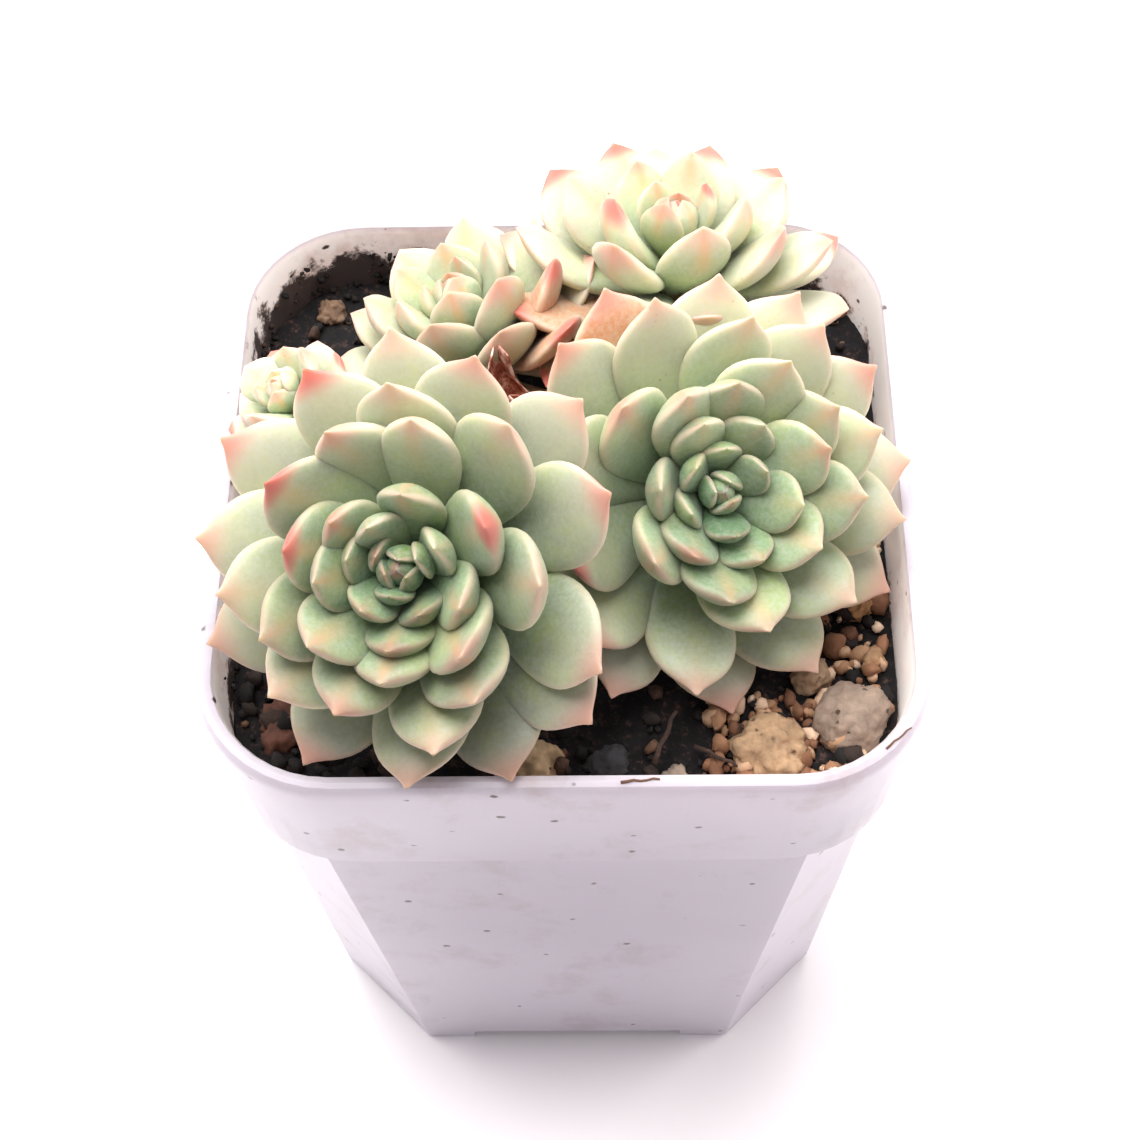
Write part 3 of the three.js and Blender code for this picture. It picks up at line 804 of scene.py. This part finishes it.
def freshLeafMaterial():
    # A succulent leaf: waxy bloom over soft, slightly translucent tissue, so highlights are broad and dull.
    material, tree, shader = startMaterial(
        "waxy succulent leaf",
        {
            "Roughness": 0.46,
            "IOR": 1.42,
            "Subsurface Weight": 0.28,
            "Subsurface Radius": (0.9, 1.0, 0.45),
            "Subsurface Scale": 2.0 * mm,
            "Sheen Weight": 0.12,
            "Sheen Roughness": 0.5,
        },
    )
    place = addNode(tree, "ShaderNodeTexCoord").outputs["Object"]
    value = {}
    for name in ("along", "across", "upright", "age", "tint", "warm", "pale", "blush", "rust"):
        value[name] = addNode(tree, "ShaderNodeAttribute", {"attribute_name": name}).outputs["Fac"]
    patches = addNode(
        tree, "ShaderNodeTexNoise", {"Scale": 1 / (5 * mm), "Detail": 3.0, "Roughness": 0.6},
        {"Vector": place},
    )
    green = addNode(tree, "ShaderNodeValToRGB", {"stops": freshLeaf["greens"]}, {0: value["age"]})
    # Paler towards the tip and where the rosette is a warm one.
    tipward = addNode(
        tree, "ShaderNodeMapRange",
        {"interpolation_type": "SMOOTHSTEP", "From Min": 0.35, "From Max": 1.0}, {"Value": value["along"]},
    )
    outerMore = addNode(
        tree, "ShaderNodeMapRange", {"To Min": 1.0, "To Max": 0.05}, {"Value": value["age"]}
    )
    warmShare = addNode(tree, "ShaderNodeMath", {"operation": "MULTIPLY", 1: 0.42}, {0: value["warm"]})
    outerTip = addNode(
        tree, "ShaderNodeMath", {"operation": "MULTIPLY"}, {0: tipward.outputs[0], 1: outerMore.outputs[0]}
    )
    creamShare = addNode(
        tree, "ShaderNodeMath", {"operation": "MULTIPLY_ADD", "use_clamp": True, 1: 0.42},
        {0: outerTip.outputs[0], 2: warmShare.outputs[0]},
    )
    limeShare = addNode(
        tree, "ShaderNodeMapRange", {"From Min": 0.44, "From Max": 0.66, "To Max": 0.55},
        {"Value": patches.outputs[0]},
    )
    rustPatches = addNode(
        tree, "ShaderNodeMapRange", {"From Min": 0.3, "From Max": 0.6, "To Min": 0.35, "To Max": 0.95},
        {"Value": patches.outputs[0]},
    )
    rustShare = addNode(
        tree, "ShaderNodeMath", {"operation": "MULTIPLY", "use_clamp": True},
        {0: value["rust"], 1: rustPatches.outputs[0]},
    )
    # Wax bloom, thin where the leaf was rubbed.
    grain = addNode(
        tree, "ShaderNodeTexNoise",
        {"Scale": 1 / (freshLeaf["bloomGrain"] * mm), "Detail": 3.0, "Roughness": 0.7}, {"Vector": place},
    )
    bloomShare = addNode(
        tree, "ShaderNodeMapRange", {"From Min": 0.32, "From Max": 0.72, "To Min": 0.06, "To Max": 0.4},
        {"Value": grain.outputs[0]},
    )
    # Margin: pale, then pink towards the tip.
    edge = addNode(
        tree, "ShaderNodeMapRange",
        {"interpolation_type": "SMOOTHSTEP", "From Min": 0.74, "From Max": 1.0, "To Max": 0.75},
        {"Value": value["across"]},
    )
    edgeTipward = addNode(
        tree, "ShaderNodeMath", {"operation": "MULTIPLY"}, {0: edge.outputs[0], 1: tipward.outputs[0]}
    )
    # A peach streak down the keel of the upright leaves.
    keel = addNode(
        tree, "ShaderNodeMapRange",
        {"interpolation_type": "SMOOTHSTEP", "From Min": 0.45, "From Max": 0.0, "To Max": 0.75},
        {"Value": value["across"]},
    )
    keelTipward = addNode(
        tree, "ShaderNodeMapRange",
        {"interpolation_type": "SMOOTHSTEP", "From Min": 0.55, "From Max": 0.92}, {"Value": value["along"]},
    )
    young = addNode(
        tree, "ShaderNodeMapRange", {"From Min": 0.95, "From Max": 0.65, "To Min": 0.0},
        {"Value": value["age"]},
    )
    keelUpright = addNode(
        tree, "ShaderNodeMath", {"operation": "MULTIPLY"}, {0: keel.outputs[0], 1: value["upright"]}
    )
    keelMost = addNode(
        tree, "ShaderNodeMath", {"operation": "MULTIPLY"},
        {0: keelUpright.outputs[0], 1: keelTipward.outputs[0]},
    )
    keelShare = addNode(
        tree, "ShaderNodeMath", {"operation": "MULTIPLY"}, {0: keelMost.outputs[0], 1: young.outputs[0]}
    )
    tipZone = addNode(
        tree, "ShaderNodeMapRange",
        {"interpolation_type": "SMOOTHSTEP", "From Min": 0.83, "From Max": 1.0, "To Max": 0.8},
        {"Value": value["along"]},
    )
    tipShare = addNode(
        tree, "ShaderNodeMath", {"operation": "MULTIPLY"}, {0: tipZone.outputs[0], 1: outerMore.outputs[0]}
    )
    deepZone = addNode(
        tree, "ShaderNodeMapRange",
        {"interpolation_type": "SMOOTHSTEP", "From Min": 0.86, "From Max": 0.97, "To Max": 0.9},
        {"Value": value["along"]},
    )
    deepShare = addNode(
        tree, "ShaderNodeMath", {"operation": "MULTIPLY"}, {0: deepZone.outputs[0], 1: value["blush"]}
    )
    # Fine red-brown dots, strongest on the warm rosettes.
    dots = addNode(
        tree, "ShaderNodeTexVoronoi", {"Scale": 1 / (freshLeaf["speckSpacing"] * mm)}, {"Vector": place}
    )
    dot = addNode(
        tree, "ShaderNodeMapRange", {"From Min": 0.2, "From Max": 0.08}, {"Value": dots.outputs[0]}
    )
    dotZone = addNode(
        tree, "ShaderNodeMapRange", {"From Min": 0.5, "From Max": 0.62, "To Max": 0.75},
        {"Value": patches.outputs[0]},
    )
    dotWarm = addNode(
        tree, "ShaderNodeMapRange", {"From Min": 0.35, "From Max": 0.8}, {"Value": value["warm"]}
    )
    dotShare = addNode(
        tree, "ShaderNodeMath", {"operation": "MULTIPLY"}, {0: dot.outputs[0], 1: dotZone.outputs[0]}
    )
    dotAll = addNode(
        tree, "ShaderNodeMath", {"operation": "MULTIPLY"}, {0: dotShare.outputs[0], 1: dotWarm.outputs[0]}
    )
    # Each colour over the ones before it.
    layers = [
        ("lime", limeShare),
        ("cream", creamShare),
        ("rust", rustShare),
        ("bloom", bloomShare),
        ("margin", edgeTipward),
        ("keel", keelShare),
        ("pink", tipShare),
        ("deepPink", deepShare),
        ("speck", dotAll),
    ]
    colour = green.outputs[0]
    for name, share in layers:
        over = linear(freshLeaf[name])
        mixed = addNode(
            tree, "ShaderNodeMix", {"data_type": "RGBA", 7: over}, {0: share.outputs[0], 6: colour}
        )
        colour = mixed.outputs[2]
    # Lighter or darker leaf by leaf at random, then the painted light on the window side and painted shade
    # in the heart.
    lightness = addNode(
        tree, "ShaderNodeMapRange", {"To Min": 0.9, "To Max": 1.1}, {"Value": value["tint"]}
    )
    paleness = addNode(
        tree, "ShaderNodeMath", {"operation": "MULTIPLY_ADD", 1: 0.28},
        {0: value["pale"], 2: lightness.outputs[0]},
    )
    finished = addNode(
        tree, "ShaderNodeHueSaturation", None, {"Value": paleness.outputs[0], "Color": colour}
    )
    tree.links.new(finished.outputs[0], shader.inputs["Base Color"])
    bump = addNode(
        tree, "ShaderNodeBump", {"Strength": 0.12, "Distance": 0.1 * mm}, {"Height": grain.outputs[0]}
    )
    tree.links.new(bump.outputs[0], shader.inputs["Normal"])
    return material


leafPattern, leafPlaces = makeLeaf()
leafSkin = freshLeafMaterial()
chance = random.Random(7)
for rosetteName, rosette in rosettes.items():
    last = len(rosette["whorls"]) - 1
    for index, (rise, turns) in enumerate(rosette["whorls"]):
        leaves = [
            placeLeaf(rosette, index, rise, turn, chance, order=order) for order, turn in enumerate(turns)
        ]
        if index == last:
            # The bud: folded leaves that close the middle.
            for budRise, share, budTurns in crown["bud"]:
                for turn in budTurns:
                    leaves.append(placeLeaf(rosette, index, budRise, turn, chance, share, 0.6))
        node = f"{rosetteName}_heart" if index == last else f"{rosetteName}_leaves_{index + 1}"
        whorl = joinAll(leaves, f"{rosetteName}_whorl_{index + 1}")
        finishPiece(whorl, leafSkin, [node])
bpy.data.objects.remove(leafPattern)
print("leaves made")

soil = {
    "edge": 69.5,
    "mound": 2.2,
    "roughness": 0.5,
    "gap": 0.12,
    "gridCuts": 170,
    "coarse": (3.2, 1.5),  # size and height of clods
    "fine": (0.9, 0.5),
}
soilHalf = insideAt(soil["edge"]) - 0.3


def soilHeight(x, y):
    out = min(1, math.hypot(x, y) / soilHalf)
    lumps = math.sin(0.37 * x + 1) * math.cos(0.41 * y) + 0.6 * math.sin(0.83 * x - 0.6 * y)
    return soil["edge"] + soil["mound"] * (1 - out * out) + soil["roughness"] * lumps * (1 - out**6)


def makeSoil():
    deselectAll()
    bpy.ops.mesh.primitive_grid_add(
        x_subdivisions=soil["gridCuts"], y_subdivisions=soil["gridCuts"], size=2.1 * soilHalf * mm
    )
    crust = started("pottingMix")
    for vertex in crust.data.vertices:
        vertex.co.z = soilHeight(vertex.co.x / mm, vertex.co.y / mm) * mm
    for name, (size, height) in (("clods", soil["coarse"]), ("crumble", soil["fine"])):
        applyModifier(
            crust, "DISPLACE", texture=cloudTexture(name, size, 3), strength=height * mm, mid_level=0.5,
            direction="Z", texture_coords="LOCAL",
        )
    bpy.ops.object.mode_set(mode="EDIT")
    bpy.ops.mesh.select_all(action="SELECT")
    bpy.ops.mesh.extrude_region_move(TRANSFORM_OT_translate={"value": (0, 0, -6 * mm)})
    bpy.ops.transform.resize(value=(1, 1, 0), center_override=(0, 0, 60 * mm))
    bpy.ops.mesh.select_all(action="SELECT")
    bpy.ops.mesh.normals_make_consistent(inside=False)
    bpy.ops.object.mode_set(mode="OBJECT")
    corner = pot["rimCorner"] - pot["lip"] - soil["gap"]
    cavity = squareLoft(
        "cavity",
        [
            (insideAt(60.5) - soil["gap"], corner, 0.5, 60.5),
            (insideAt(77) - soil["gap"], corner, 0.5, 77),
        ],
    )
    applyModifier(crust, "BOOLEAN", object=cavity, operation="INTERSECT", solver="EXACT")
    bpy.data.objects.remove(cavity)
    return crust


pottingMix = {
    "peat": "#151113",
    "dark": "#09080a",
    "fibre": "#574037",
    "grainSize": 1.1,
}


def pottingMixMaterial():
    # Peat with fibres: dull and dark.
    stops = [(0.35, pottingMix["dark"]), (0.55, pottingMix["peat"]), (0.7, pottingMix["fibre"])]
    return grainyMaterial("damp peat mix", 0.88, (pottingMix["grainSize"], 6.0, 0.75), stops, (0.8, 0.5))


stemShape = {
    "rooted": 4,
    "bend": 2.5,  # straight length under the outer leaves
    "scarSpacing": 1.3,
    "scarDepth": 0.35,
}


def makeStem(rosetteName, rosette):
    axis, right, back, middle = rosetteFrame(rosette)
    x, y = (share * soilHalf for share in rosette["foot"])
    ground = soilHeight(x, y)
    last = len(rosette["whorls"]) - 1
    low = middle + axis * (collarHeight(rosette, 0) - stemShape["bend"])
    high = middle + axis * (collarHeight(rosette, last) + 0.6)
    curve = bpy.data.curves.new("stem", "CURVE")
    curve.dimensions = "3D"
    curve.bevel_depth = (rosette["stem"] + 0.7) * mm
    curve.bevel_resolution = 4
    curve.resolution_u = 14
    curve.use_fill_caps = True
    line = curve.splines.new("NURBS")
    points = [(x, y, ground - stemShape["rooted"]), (x, y, ground), tuple(low), tuple(high)]
    line.points.add(len(points) - 1)
    for point, place in zip(line.points, points):
        point.co = (*(Vector(place) * mm), 1)
    line.use_endpoint_u = True
    line.order_u = 3
    stem = bpy.data.objects.new("stem", curve)
    bpy.context.collection.objects.link(stem)
    activate(stem)
    bpy.ops.object.convert(target="MESH")
    texture = cloudTexture("leafScars" + rosetteName, stemShape["scarSpacing"], 1)
    applyModifier(
        stem, "DISPLACE", texture=texture, strength=stemShape["scarDepth"] * mm, mid_level=0.5,
        texture_coords="LOCAL",
    )
    stem.name = rosetteName + "_stalk"
    finishPiece(stem, stemSkin, [rosetteName + "_stem"])


def stemMaterial():
    # Old succulent stalk: dry, corky skin with leaf scars.
    stops = [(0.3, "#5d4a34"), (0.55, "#8b7a55"), (0.75, "#a7a070")]
    return grainyMaterial("corky stalk", 0.8, (1.4, 5.0, 0.7), stops, (0.6, 0.3))


stemSkin = stemMaterial()
for rosetteName, rosette in rosettes.items():
    makeStem(rosetteName, rosette)
print("stems made")

peatSkin = pottingMixMaterial()
soilPiece = finishPiece(makeSoil(), peatSkin)
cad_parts["soil"].data.materials.clear()
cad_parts["soil"].data.materials.append(peatSkin)
print("soil made:", len(soilPiece.data.polygons), "faces")

# node: colour, depth of the lumps in mm, pores from 0 to 1 (how deep the pores are bumped and how dark
# their painted shade is)
stones = {
    "tan_stone_large": ("#a98a6a", 0.9, 0.8),
    "grey_stone_round": ("#907d6e", 0.6, 0.9),
    "cream_stone": ("#d8c4b0", 0.7, 0.3),
    "tan_stone_small": ("#b39678", 0.6, 0.5),
    "brown_stone_right": ("#a3805f", 0.5, 0.3),
    "amber_gravel": ("#b98d60", 0.8, 0.2),
    "cream_gravel": ("#cfae90", 0.5, 0.2),
    "tan_stone_front": ("#b59a78", 1.0, 0.9),
    "black_stone_front": ("#2b2a2e", 0.6, 0.1),
    "grey_stone_front": ("#8a7a6c", 0.5, 0.3),
    "bark_chip_left": ("#5d382a", 0.9, 0.1),
    "gravel_back_left": ("#7a5f4a", 0.6, 0.2),
    "gravel_back_right": ("#9a7a5a", 0.6, 0.2),
    "gravel_right_middle": ("#b08d70", 0.5, 0.2),
}


def stoneMaterial(name, colour, pores):
    # Pumice and fired clay grit: matt, dusty, pitted with pores a few tenths of a millimetre wide.
    material, tree, shader = startMaterial(name, {"Roughness": 0.85, "IOR": 1.5})
    place = addNode(tree, "ShaderNodeTexCoord").outputs["Object"]
    patches = addNode(
        tree, "ShaderNodeTexNoise", {"Scale": 1 / (2.2 * mm), "Detail": 5.0, "Roughness": 0.7},
        {"Vector": place},
    )
    shade = addNode(
        tree, "ShaderNodeMapRange", {"From Min": 0.3, "From Max": 0.7, "To Min": 0.5, "To Max": 1.12},
        {"Value": patches.outputs[0]},
    )
    fine = addNode(tree, "ShaderNodeTexNoise", {"Scale": 1 / (0.7 * mm), "Detail": 3.0}, {"Vector": place})
    pits = addNode(tree, "ShaderNodeTexVoronoi", {"Scale": 1 / (1.3 * mm)}, {"Vector": place})
    edgeOfPit = addNode(
        tree, "ShaderNodeMath", {"operation": "MULTIPLY_ADD", 1: 0.7},
        {0: fine.outputs[0], 2: pits.outputs[0]},
    )
    pit = addNode(
        tree, "ShaderNodeMapRange", {"From Min": 0.55, "From Max": 0.42, "To Max": pores},
        {"Value": edgeOfPit.outputs[0]},
    )
    toned = addNode(tree, "ShaderNodeHueSaturation", {"Color": linear(colour)}, {"Value": shade.outputs[0]})
    # The pits are painted dark brown: painted shade inside the pores.
    tonedWithPitShade = addNode(
        tree, "ShaderNodeMix", {"data_type": "RGBA", 7: linear("#3d2c22")},
        {0: pit.outputs[0], 6: toned.outputs[0]},
    )
    tree.links.new(tonedWithPitShade.outputs[2], shader.inputs["Base Color"])
    height = addNode(
        tree, "ShaderNodeMath", {"operation": "SUBTRACT"}, {0: patches.outputs[0], 1: pit.outputs[0]}
    )
    bump = addNode(
        tree, "ShaderNodeBump", {"Strength": 0.7, "Distance": 0.35 * mm}, {"Height": height.outputs[0]}
    )
    tree.links.new(bump.outputs[0], shader.inputs["Normal"])
    return material


def makeStone(node, colour, lumps, pores, order):
    low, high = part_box(node)
    centre = (low + high) / 2
    size = (high - low) / 2
    deselectAll()
    bpy.ops.mesh.primitive_ico_sphere_add(subdivisions=5 if size.x > 2.2 * mm else 4, radius=1)
    stone = started("pebble_" + node)
    bpy.ops.object.mode_set(mode="EDIT")
    bpy.ops.transform.resize(value=tuple(size * 0.96), center_override=(0, 0, 0))
    bpy.ops.object.mode_set(mode="OBJECT")
    setPlace(stone, Matrix.Translation(centre))
    reach = max(size)
    for name, share, height in (("lumps", 1.2, 3.4 * lumps), ("chips", 0.32, lumps * 1.5)):
        texture = cloudTexture(f"{name}{order}", reach * share / mm, 2)
        applyModifier(
            stone, "DISPLACE", texture=texture, strength=height * mm, mid_level=0.5, texture_coords="LOCAL"
        )
    slot = "bark" if "bark" in node else "dark_stone" if "black" in node else "pumice_gravel"
    title = {"bark": "pine bark", "dark_stone": "black gravel", "pumice_gravel": "pumice grit"}[slot]
    finishPiece(stone, stoneMaterial(f"{title} {order + 1}", colour, pores), [node])


for order, (node, (colour, lumps, pores)) in enumerate(stones.items()):
    makeStone(node, colour, lumps, pores, order)
print("stones made")

# Loose crumbs and grit, too small to be pieces of their own.
litter = {
    "seed": 21,
    "peatCrumbs": 900,
    "grit": 330,
    "wallCrumbs": 170,
    "kinds": 4,
}


def makeCrumbKinds(prefix, roughness):
    kinds = []
    for i in range(litter["kinds"]):
        deselectAll()
        bpy.ops.mesh.primitive_ico_sphere_add(subdivisions=2, radius=0.5)
        crumb = started(f"{prefix}{i}")
        texture = cloudTexture(f"{prefix}{i}", 1000 * 0.45, 1)
        setPlace(crumb, Matrix.Translation((3.1 * i, 1.7 * i, 0)))
        applyModifier(
            crumb, "DISPLACE", texture=texture, strength=roughness, mid_level=0.5, texture_coords="LOCAL"
        )
        setPlace(crumb, Matrix.Translation((-3.1 * i, -1.7 * i, 0)))
        kinds.append(crumb)
    return kinds


def scatter(kinds, places, name, material):
    # places: (point, size, squash, tone)
    chance = random.Random(litter["seed"] + len(places))
    copies = []
    for point, size, squash, tone in places:
        crumb = copyOf(chance.choice(kinds), "crumb")
        turn = Euler([chance.uniform(0, 6.28) for _ in range(3)]).to_matrix().to_4x4()
        shape = Matrix.Diagonal((size * mm, size * squash * mm, size * chance.uniform(0.55, 0.9) * mm, 1))
        setPlace(crumb, Matrix.Translation(Vector(point) * mm) @ turn @ shape)
        paintValue(crumb, "tone", tone)
        copies.append(crumb)
    whole = joinAll(copies, name)
    return finishPiece(whole, material)


def litterMaterial(name, stops, grain, roughness):
    # Loose grains, each with its own tone from the mix, dusted unevenly.
    material, tree, shader = startMaterial(name, {"Roughness": roughness, "IOR": 1.45})
    place = addNode(tree, "ShaderNodeTexCoord").outputs["Object"]
    tone = addNode(tree, "ShaderNodeAttribute", {"attribute_name": "tone"}).outputs["Fac"]
    noise = addNode(
        tree, "ShaderNodeTexNoise", {"Scale": 1 / (grain * mm), "Detail": 4.0, "Roughness": 0.7},
        {"Vector": place},
    )
    mixed = addNode(
        tree, "ShaderNodeMath", {"operation": "MULTIPLY_ADD", 1: 0.3}, {0: noise.outputs[0], 2: tone}
    )
    shifted = addNode(tree, "ShaderNodeMath", {"operation": "SUBTRACT", 1: 0.15}, {0: mixed.outputs[0]})
    ramp = addNode(tree, "ShaderNodeValToRGB", {"stops": stops}, {0: shifted.outputs[0]})
    tree.links.new(ramp.outputs[0], shader.inputs["Base Color"])
    bump = addNode(
        tree, "ShaderNodeBump", {"Strength": 0.6, "Distance": 0.25 * mm}, {"Height": noise.outputs[0]}
    )
    tree.links.new(bump.outputs[0], shader.inputs["Normal"])
    return material


def peatPlaces():
    chance = random.Random(litter["seed"])
    places = []
    while len(places) < litter["peatCrumbs"]:
        x = chance.uniform(-soilHalf, soilHalf)
        y = chance.uniform(-soilHalf, soilHalf)
        if not inCavity(x, y, soilHalf - 0.8, 11):
            continue
        size = 0.7 + 2.2 * chance.random() ** 3
        point = (x, y, soilHeight(x, y) + 0.25 + 0.2 * size)
        places.append((point, size, chance.uniform(0.5, 1), chance.random()))
    return places


def gritPlaces():
    chance = random.Random(litter["seed"] + 1)
    places = []
    while len(places) < litter["grit"]:
        # Most of the grit lies along the right wall and in the front right corner.
        pick = chance.random()
        if pick < 0.5:
            x = chance.uniform(25.5, soilHalf)
            y = chance.uniform(-26, 16)
        elif pick < 0.93:
            x = chance.uniform(14, soilHalf)
            y = chance.uniform(-soilHalf, -21)
        else:
            x = chance.uniform(-soilHalf, soilHalf)
            y = chance.uniform(-soilHalf, soilHalf)
        if not inCavity(x, y, soilHalf - 0.9, 11):
            continue
        size = 0.8 + 2.0 * chance.random() ** 2
        point = (x, y, soilHeight(x, y) + 0.3 + 0.3 * size)
        places.append((point, size, chance.uniform(0.6, 1), chance.random()))
    return places


def wallPlaces():
    # Soil left on the inside of the wall, most of it at the back left.
    chance = random.Random(litter["seed"] + 2)
    places = []
    for i in range(litter["wallCrumbs"]):
        height = soil["edge"] + 5.0 * chance.random() ** 1.8
        wallHalf = insideAt(height)
        where = chance.choice((-20, -16.5, -11, -5)) + chance.gauss(0, 1.3)
        size = 0.25 + 0.9 * chance.random() ** 2.5
        if i % 5 < 3:
            point = (where, wallHalf - 0.25 * size, height)
        elif i % 5 == 3:
            point = (-wallHalf + 0.25 * size, chance.uniform(-21, 21), height)
        else:
            angle = chance.uniform(0, math.pi / 2)
            reach = pot["rimCorner"] - pot["lip"] - 0.25 * size
            inner = wallHalf - pot["rimCorner"] + pot["lip"]
            point = (-inner - reach * math.sin(angle), inner + reach * math.cos(angle), height)
        places.append((point, size, chance.uniform(0.5, 1), chance.random()))
    return places


peatKinds = makeCrumbKinds("clod", 0.6)
gritKinds = makeCrumbKinds("grain", 0.55)
peatLitter = litterMaterial(
    "peat crumbs", [(0.0, "#0d0b0c"), (0.55, "#1c1716"), (0.85, "#33251f"), (1.0, "#6a4c3a")], 0.8, 0.9
)
gritLitter = litterMaterial(
    "pumice and clay grit",
    [(0.0, "#5c3c2b"), (0.3, "#875f45"), (0.6, "#a68264"), (0.85, "#c6a487"), (1.0, "#dcc4ac")],
    0.9, 0.85,
)
scatter(peatKinds, peatPlaces(), "peatCrumbs", peatLitter)
scatter(gritKinds, gritPlaces(), "grit", gritLitter)
scatter(peatKinds, wallPlaces(), "wallCrumbs", peatLitter)
for kind in peatKinds + gritKinds:
    bpy.data.objects.remove(kind)
print("crumbs and grit made")

dryPieces = {
    # name: (foot, top, width, turn in degrees, replaced node)
    "driedHusk": ((-4.6, 0.2, 74), (-4.6, 4.8, 92.2), 4.8, 15, "dried_leaf"),
    "driedHuskSmall": ((-5.6, 2.4, 76), (-3.6, 1.0, 90.6), 3.0, 70, None),
    "driedScrap": ((0.2, 8.2, 77), (1.4, 10.6, 88.4), 1.9, -30, None),
}


def makeHusk(name, foot, top, width, turn, node):
    deselectAll()
    bpy.ops.mesh.primitive_grid_add(x_subdivisions=5, y_subdivisions=14, size=1)
    husk = started(name)
    chance = random.Random(len(name))
    foot = Vector(foot) * mm
    line = Vector(top) * mm - foot
    side = Euler((0, 0, math.radians(turn))).to_matrix() @ Vector((1, 0, 0))
    front = line.normalized().cross(side)
    for vertex in husk.data.vertices:
        across = vertex.co.x * 2
        share = vertex.co.y + 0.5
        narrow = math.sin(0.35 + 2.5 * share) * (1 + 0.25 * math.sin(11 * share + 2 * across))
        curl = (1 - across * across) * 0.32 * width + 0.12 * width * math.sin(9 * share + 3 * across)
        curl += chance.uniform(-0.05, 0.05) * width
        drift = 0.25 * width * math.sin(5 * share)
        place = foot + line * share + side * (across * 0.5 * width * narrow + drift) * mm
        vertex.co = place + front * curl * mm
    applyModifier(husk, "SOLIDIFY", thickness=0.25 * mm, offset=0)
    applyModifier(husk, "SUBSURF", levels=1, render_levels=1)
    finishPiece(husk, huskSkin, [node] if node else [])


def huskMaterial():
    # Withered leaf: papery, in patches from brown-red to straw.
    stops = [(0.32, "#6f3128"), (0.46, "#a5604e"), (0.56, "#d3a594"), (0.68, "#f2e6de")]
    return grainyMaterial("withered leaf", 0.7, (1.3, 4.0, 0.65), stops, (0.6, 0.2))


huskSkin = huskMaterial()
for name, (foot, top, width, turn, node) in dryPieces.items():
    makeHusk(name, foot, top, width, turn, node)

# Twigs and two dry flakes on the rim: ends, radius, tone
twigs = [
    ((8.6, -29.0, 71.6), (10.8, -24.6, 74.0), 0.3, 0.85),
    ((-29.5, -18.0, 71.2), (-26.0, -20.5, 72.4), 0.4, 0.85),
    ((-22.0, 24.5, 71.0), (-14.5, 27.0, 72.6), 0.45, 0.85),
    ((12.5, -27.0, 71.3), (16.5, -29.5, 71.9), 0.25, 0.85),
    ((5.4, -34.3, 78.0), (9.0, -34.0, 78.0), 0.16, 1.1),
    ((29.9, -31.0, 77.95), (32.4, -28.8, 77.95), 0.12, 1.1),
]


def makeTwigs():
    made = []
    for start, end, radius, tone in twigs:
        reach = (Vector(end) - Vector(start)) * mm
        deselectAll()
        bpy.ops.mesh.primitive_circle_add(vertices=8, radius=radius * mm, fill_type="NGON")
        twig = started("twig")
        bpy.ops.object.mode_set(mode="EDIT")
        bpy.ops.mesh.select_all(action="SELECT")
        for step in range(6):
            bpy.ops.mesh.extrude_region_move(TRANSFORM_OT_translate={"value": (0, 0, reach.length / 6)})
            bpy.ops.transform.resize(value=(0.93, 0.93, 1), center_override=(0, 0, 0))
            sway = (0.7 * radius * mm * math.sin(2.1 * step), 0.5 * radius * mm * math.cos(1.7 * step), 0)
            bpy.ops.transform.translate(value=sway)
        bpy.ops.mesh.select_all(action="SELECT")
        bpy.ops.mesh.normals_make_consistent(inside=False)
        bpy.ops.object.mode_set(mode="OBJECT")
        turned = reach.to_track_quat("Z", "Y").to_matrix().to_4x4()
        setPlace(twig, Matrix.Translation(Vector(start) * mm) @ turned)
        paintValue(twig, "tone", tone)
        made.append(twig)
    return joinAll(made, "twigs")


finishPiece(makeTwigs(), peatLitter)
print("dry leaves and twigs made")
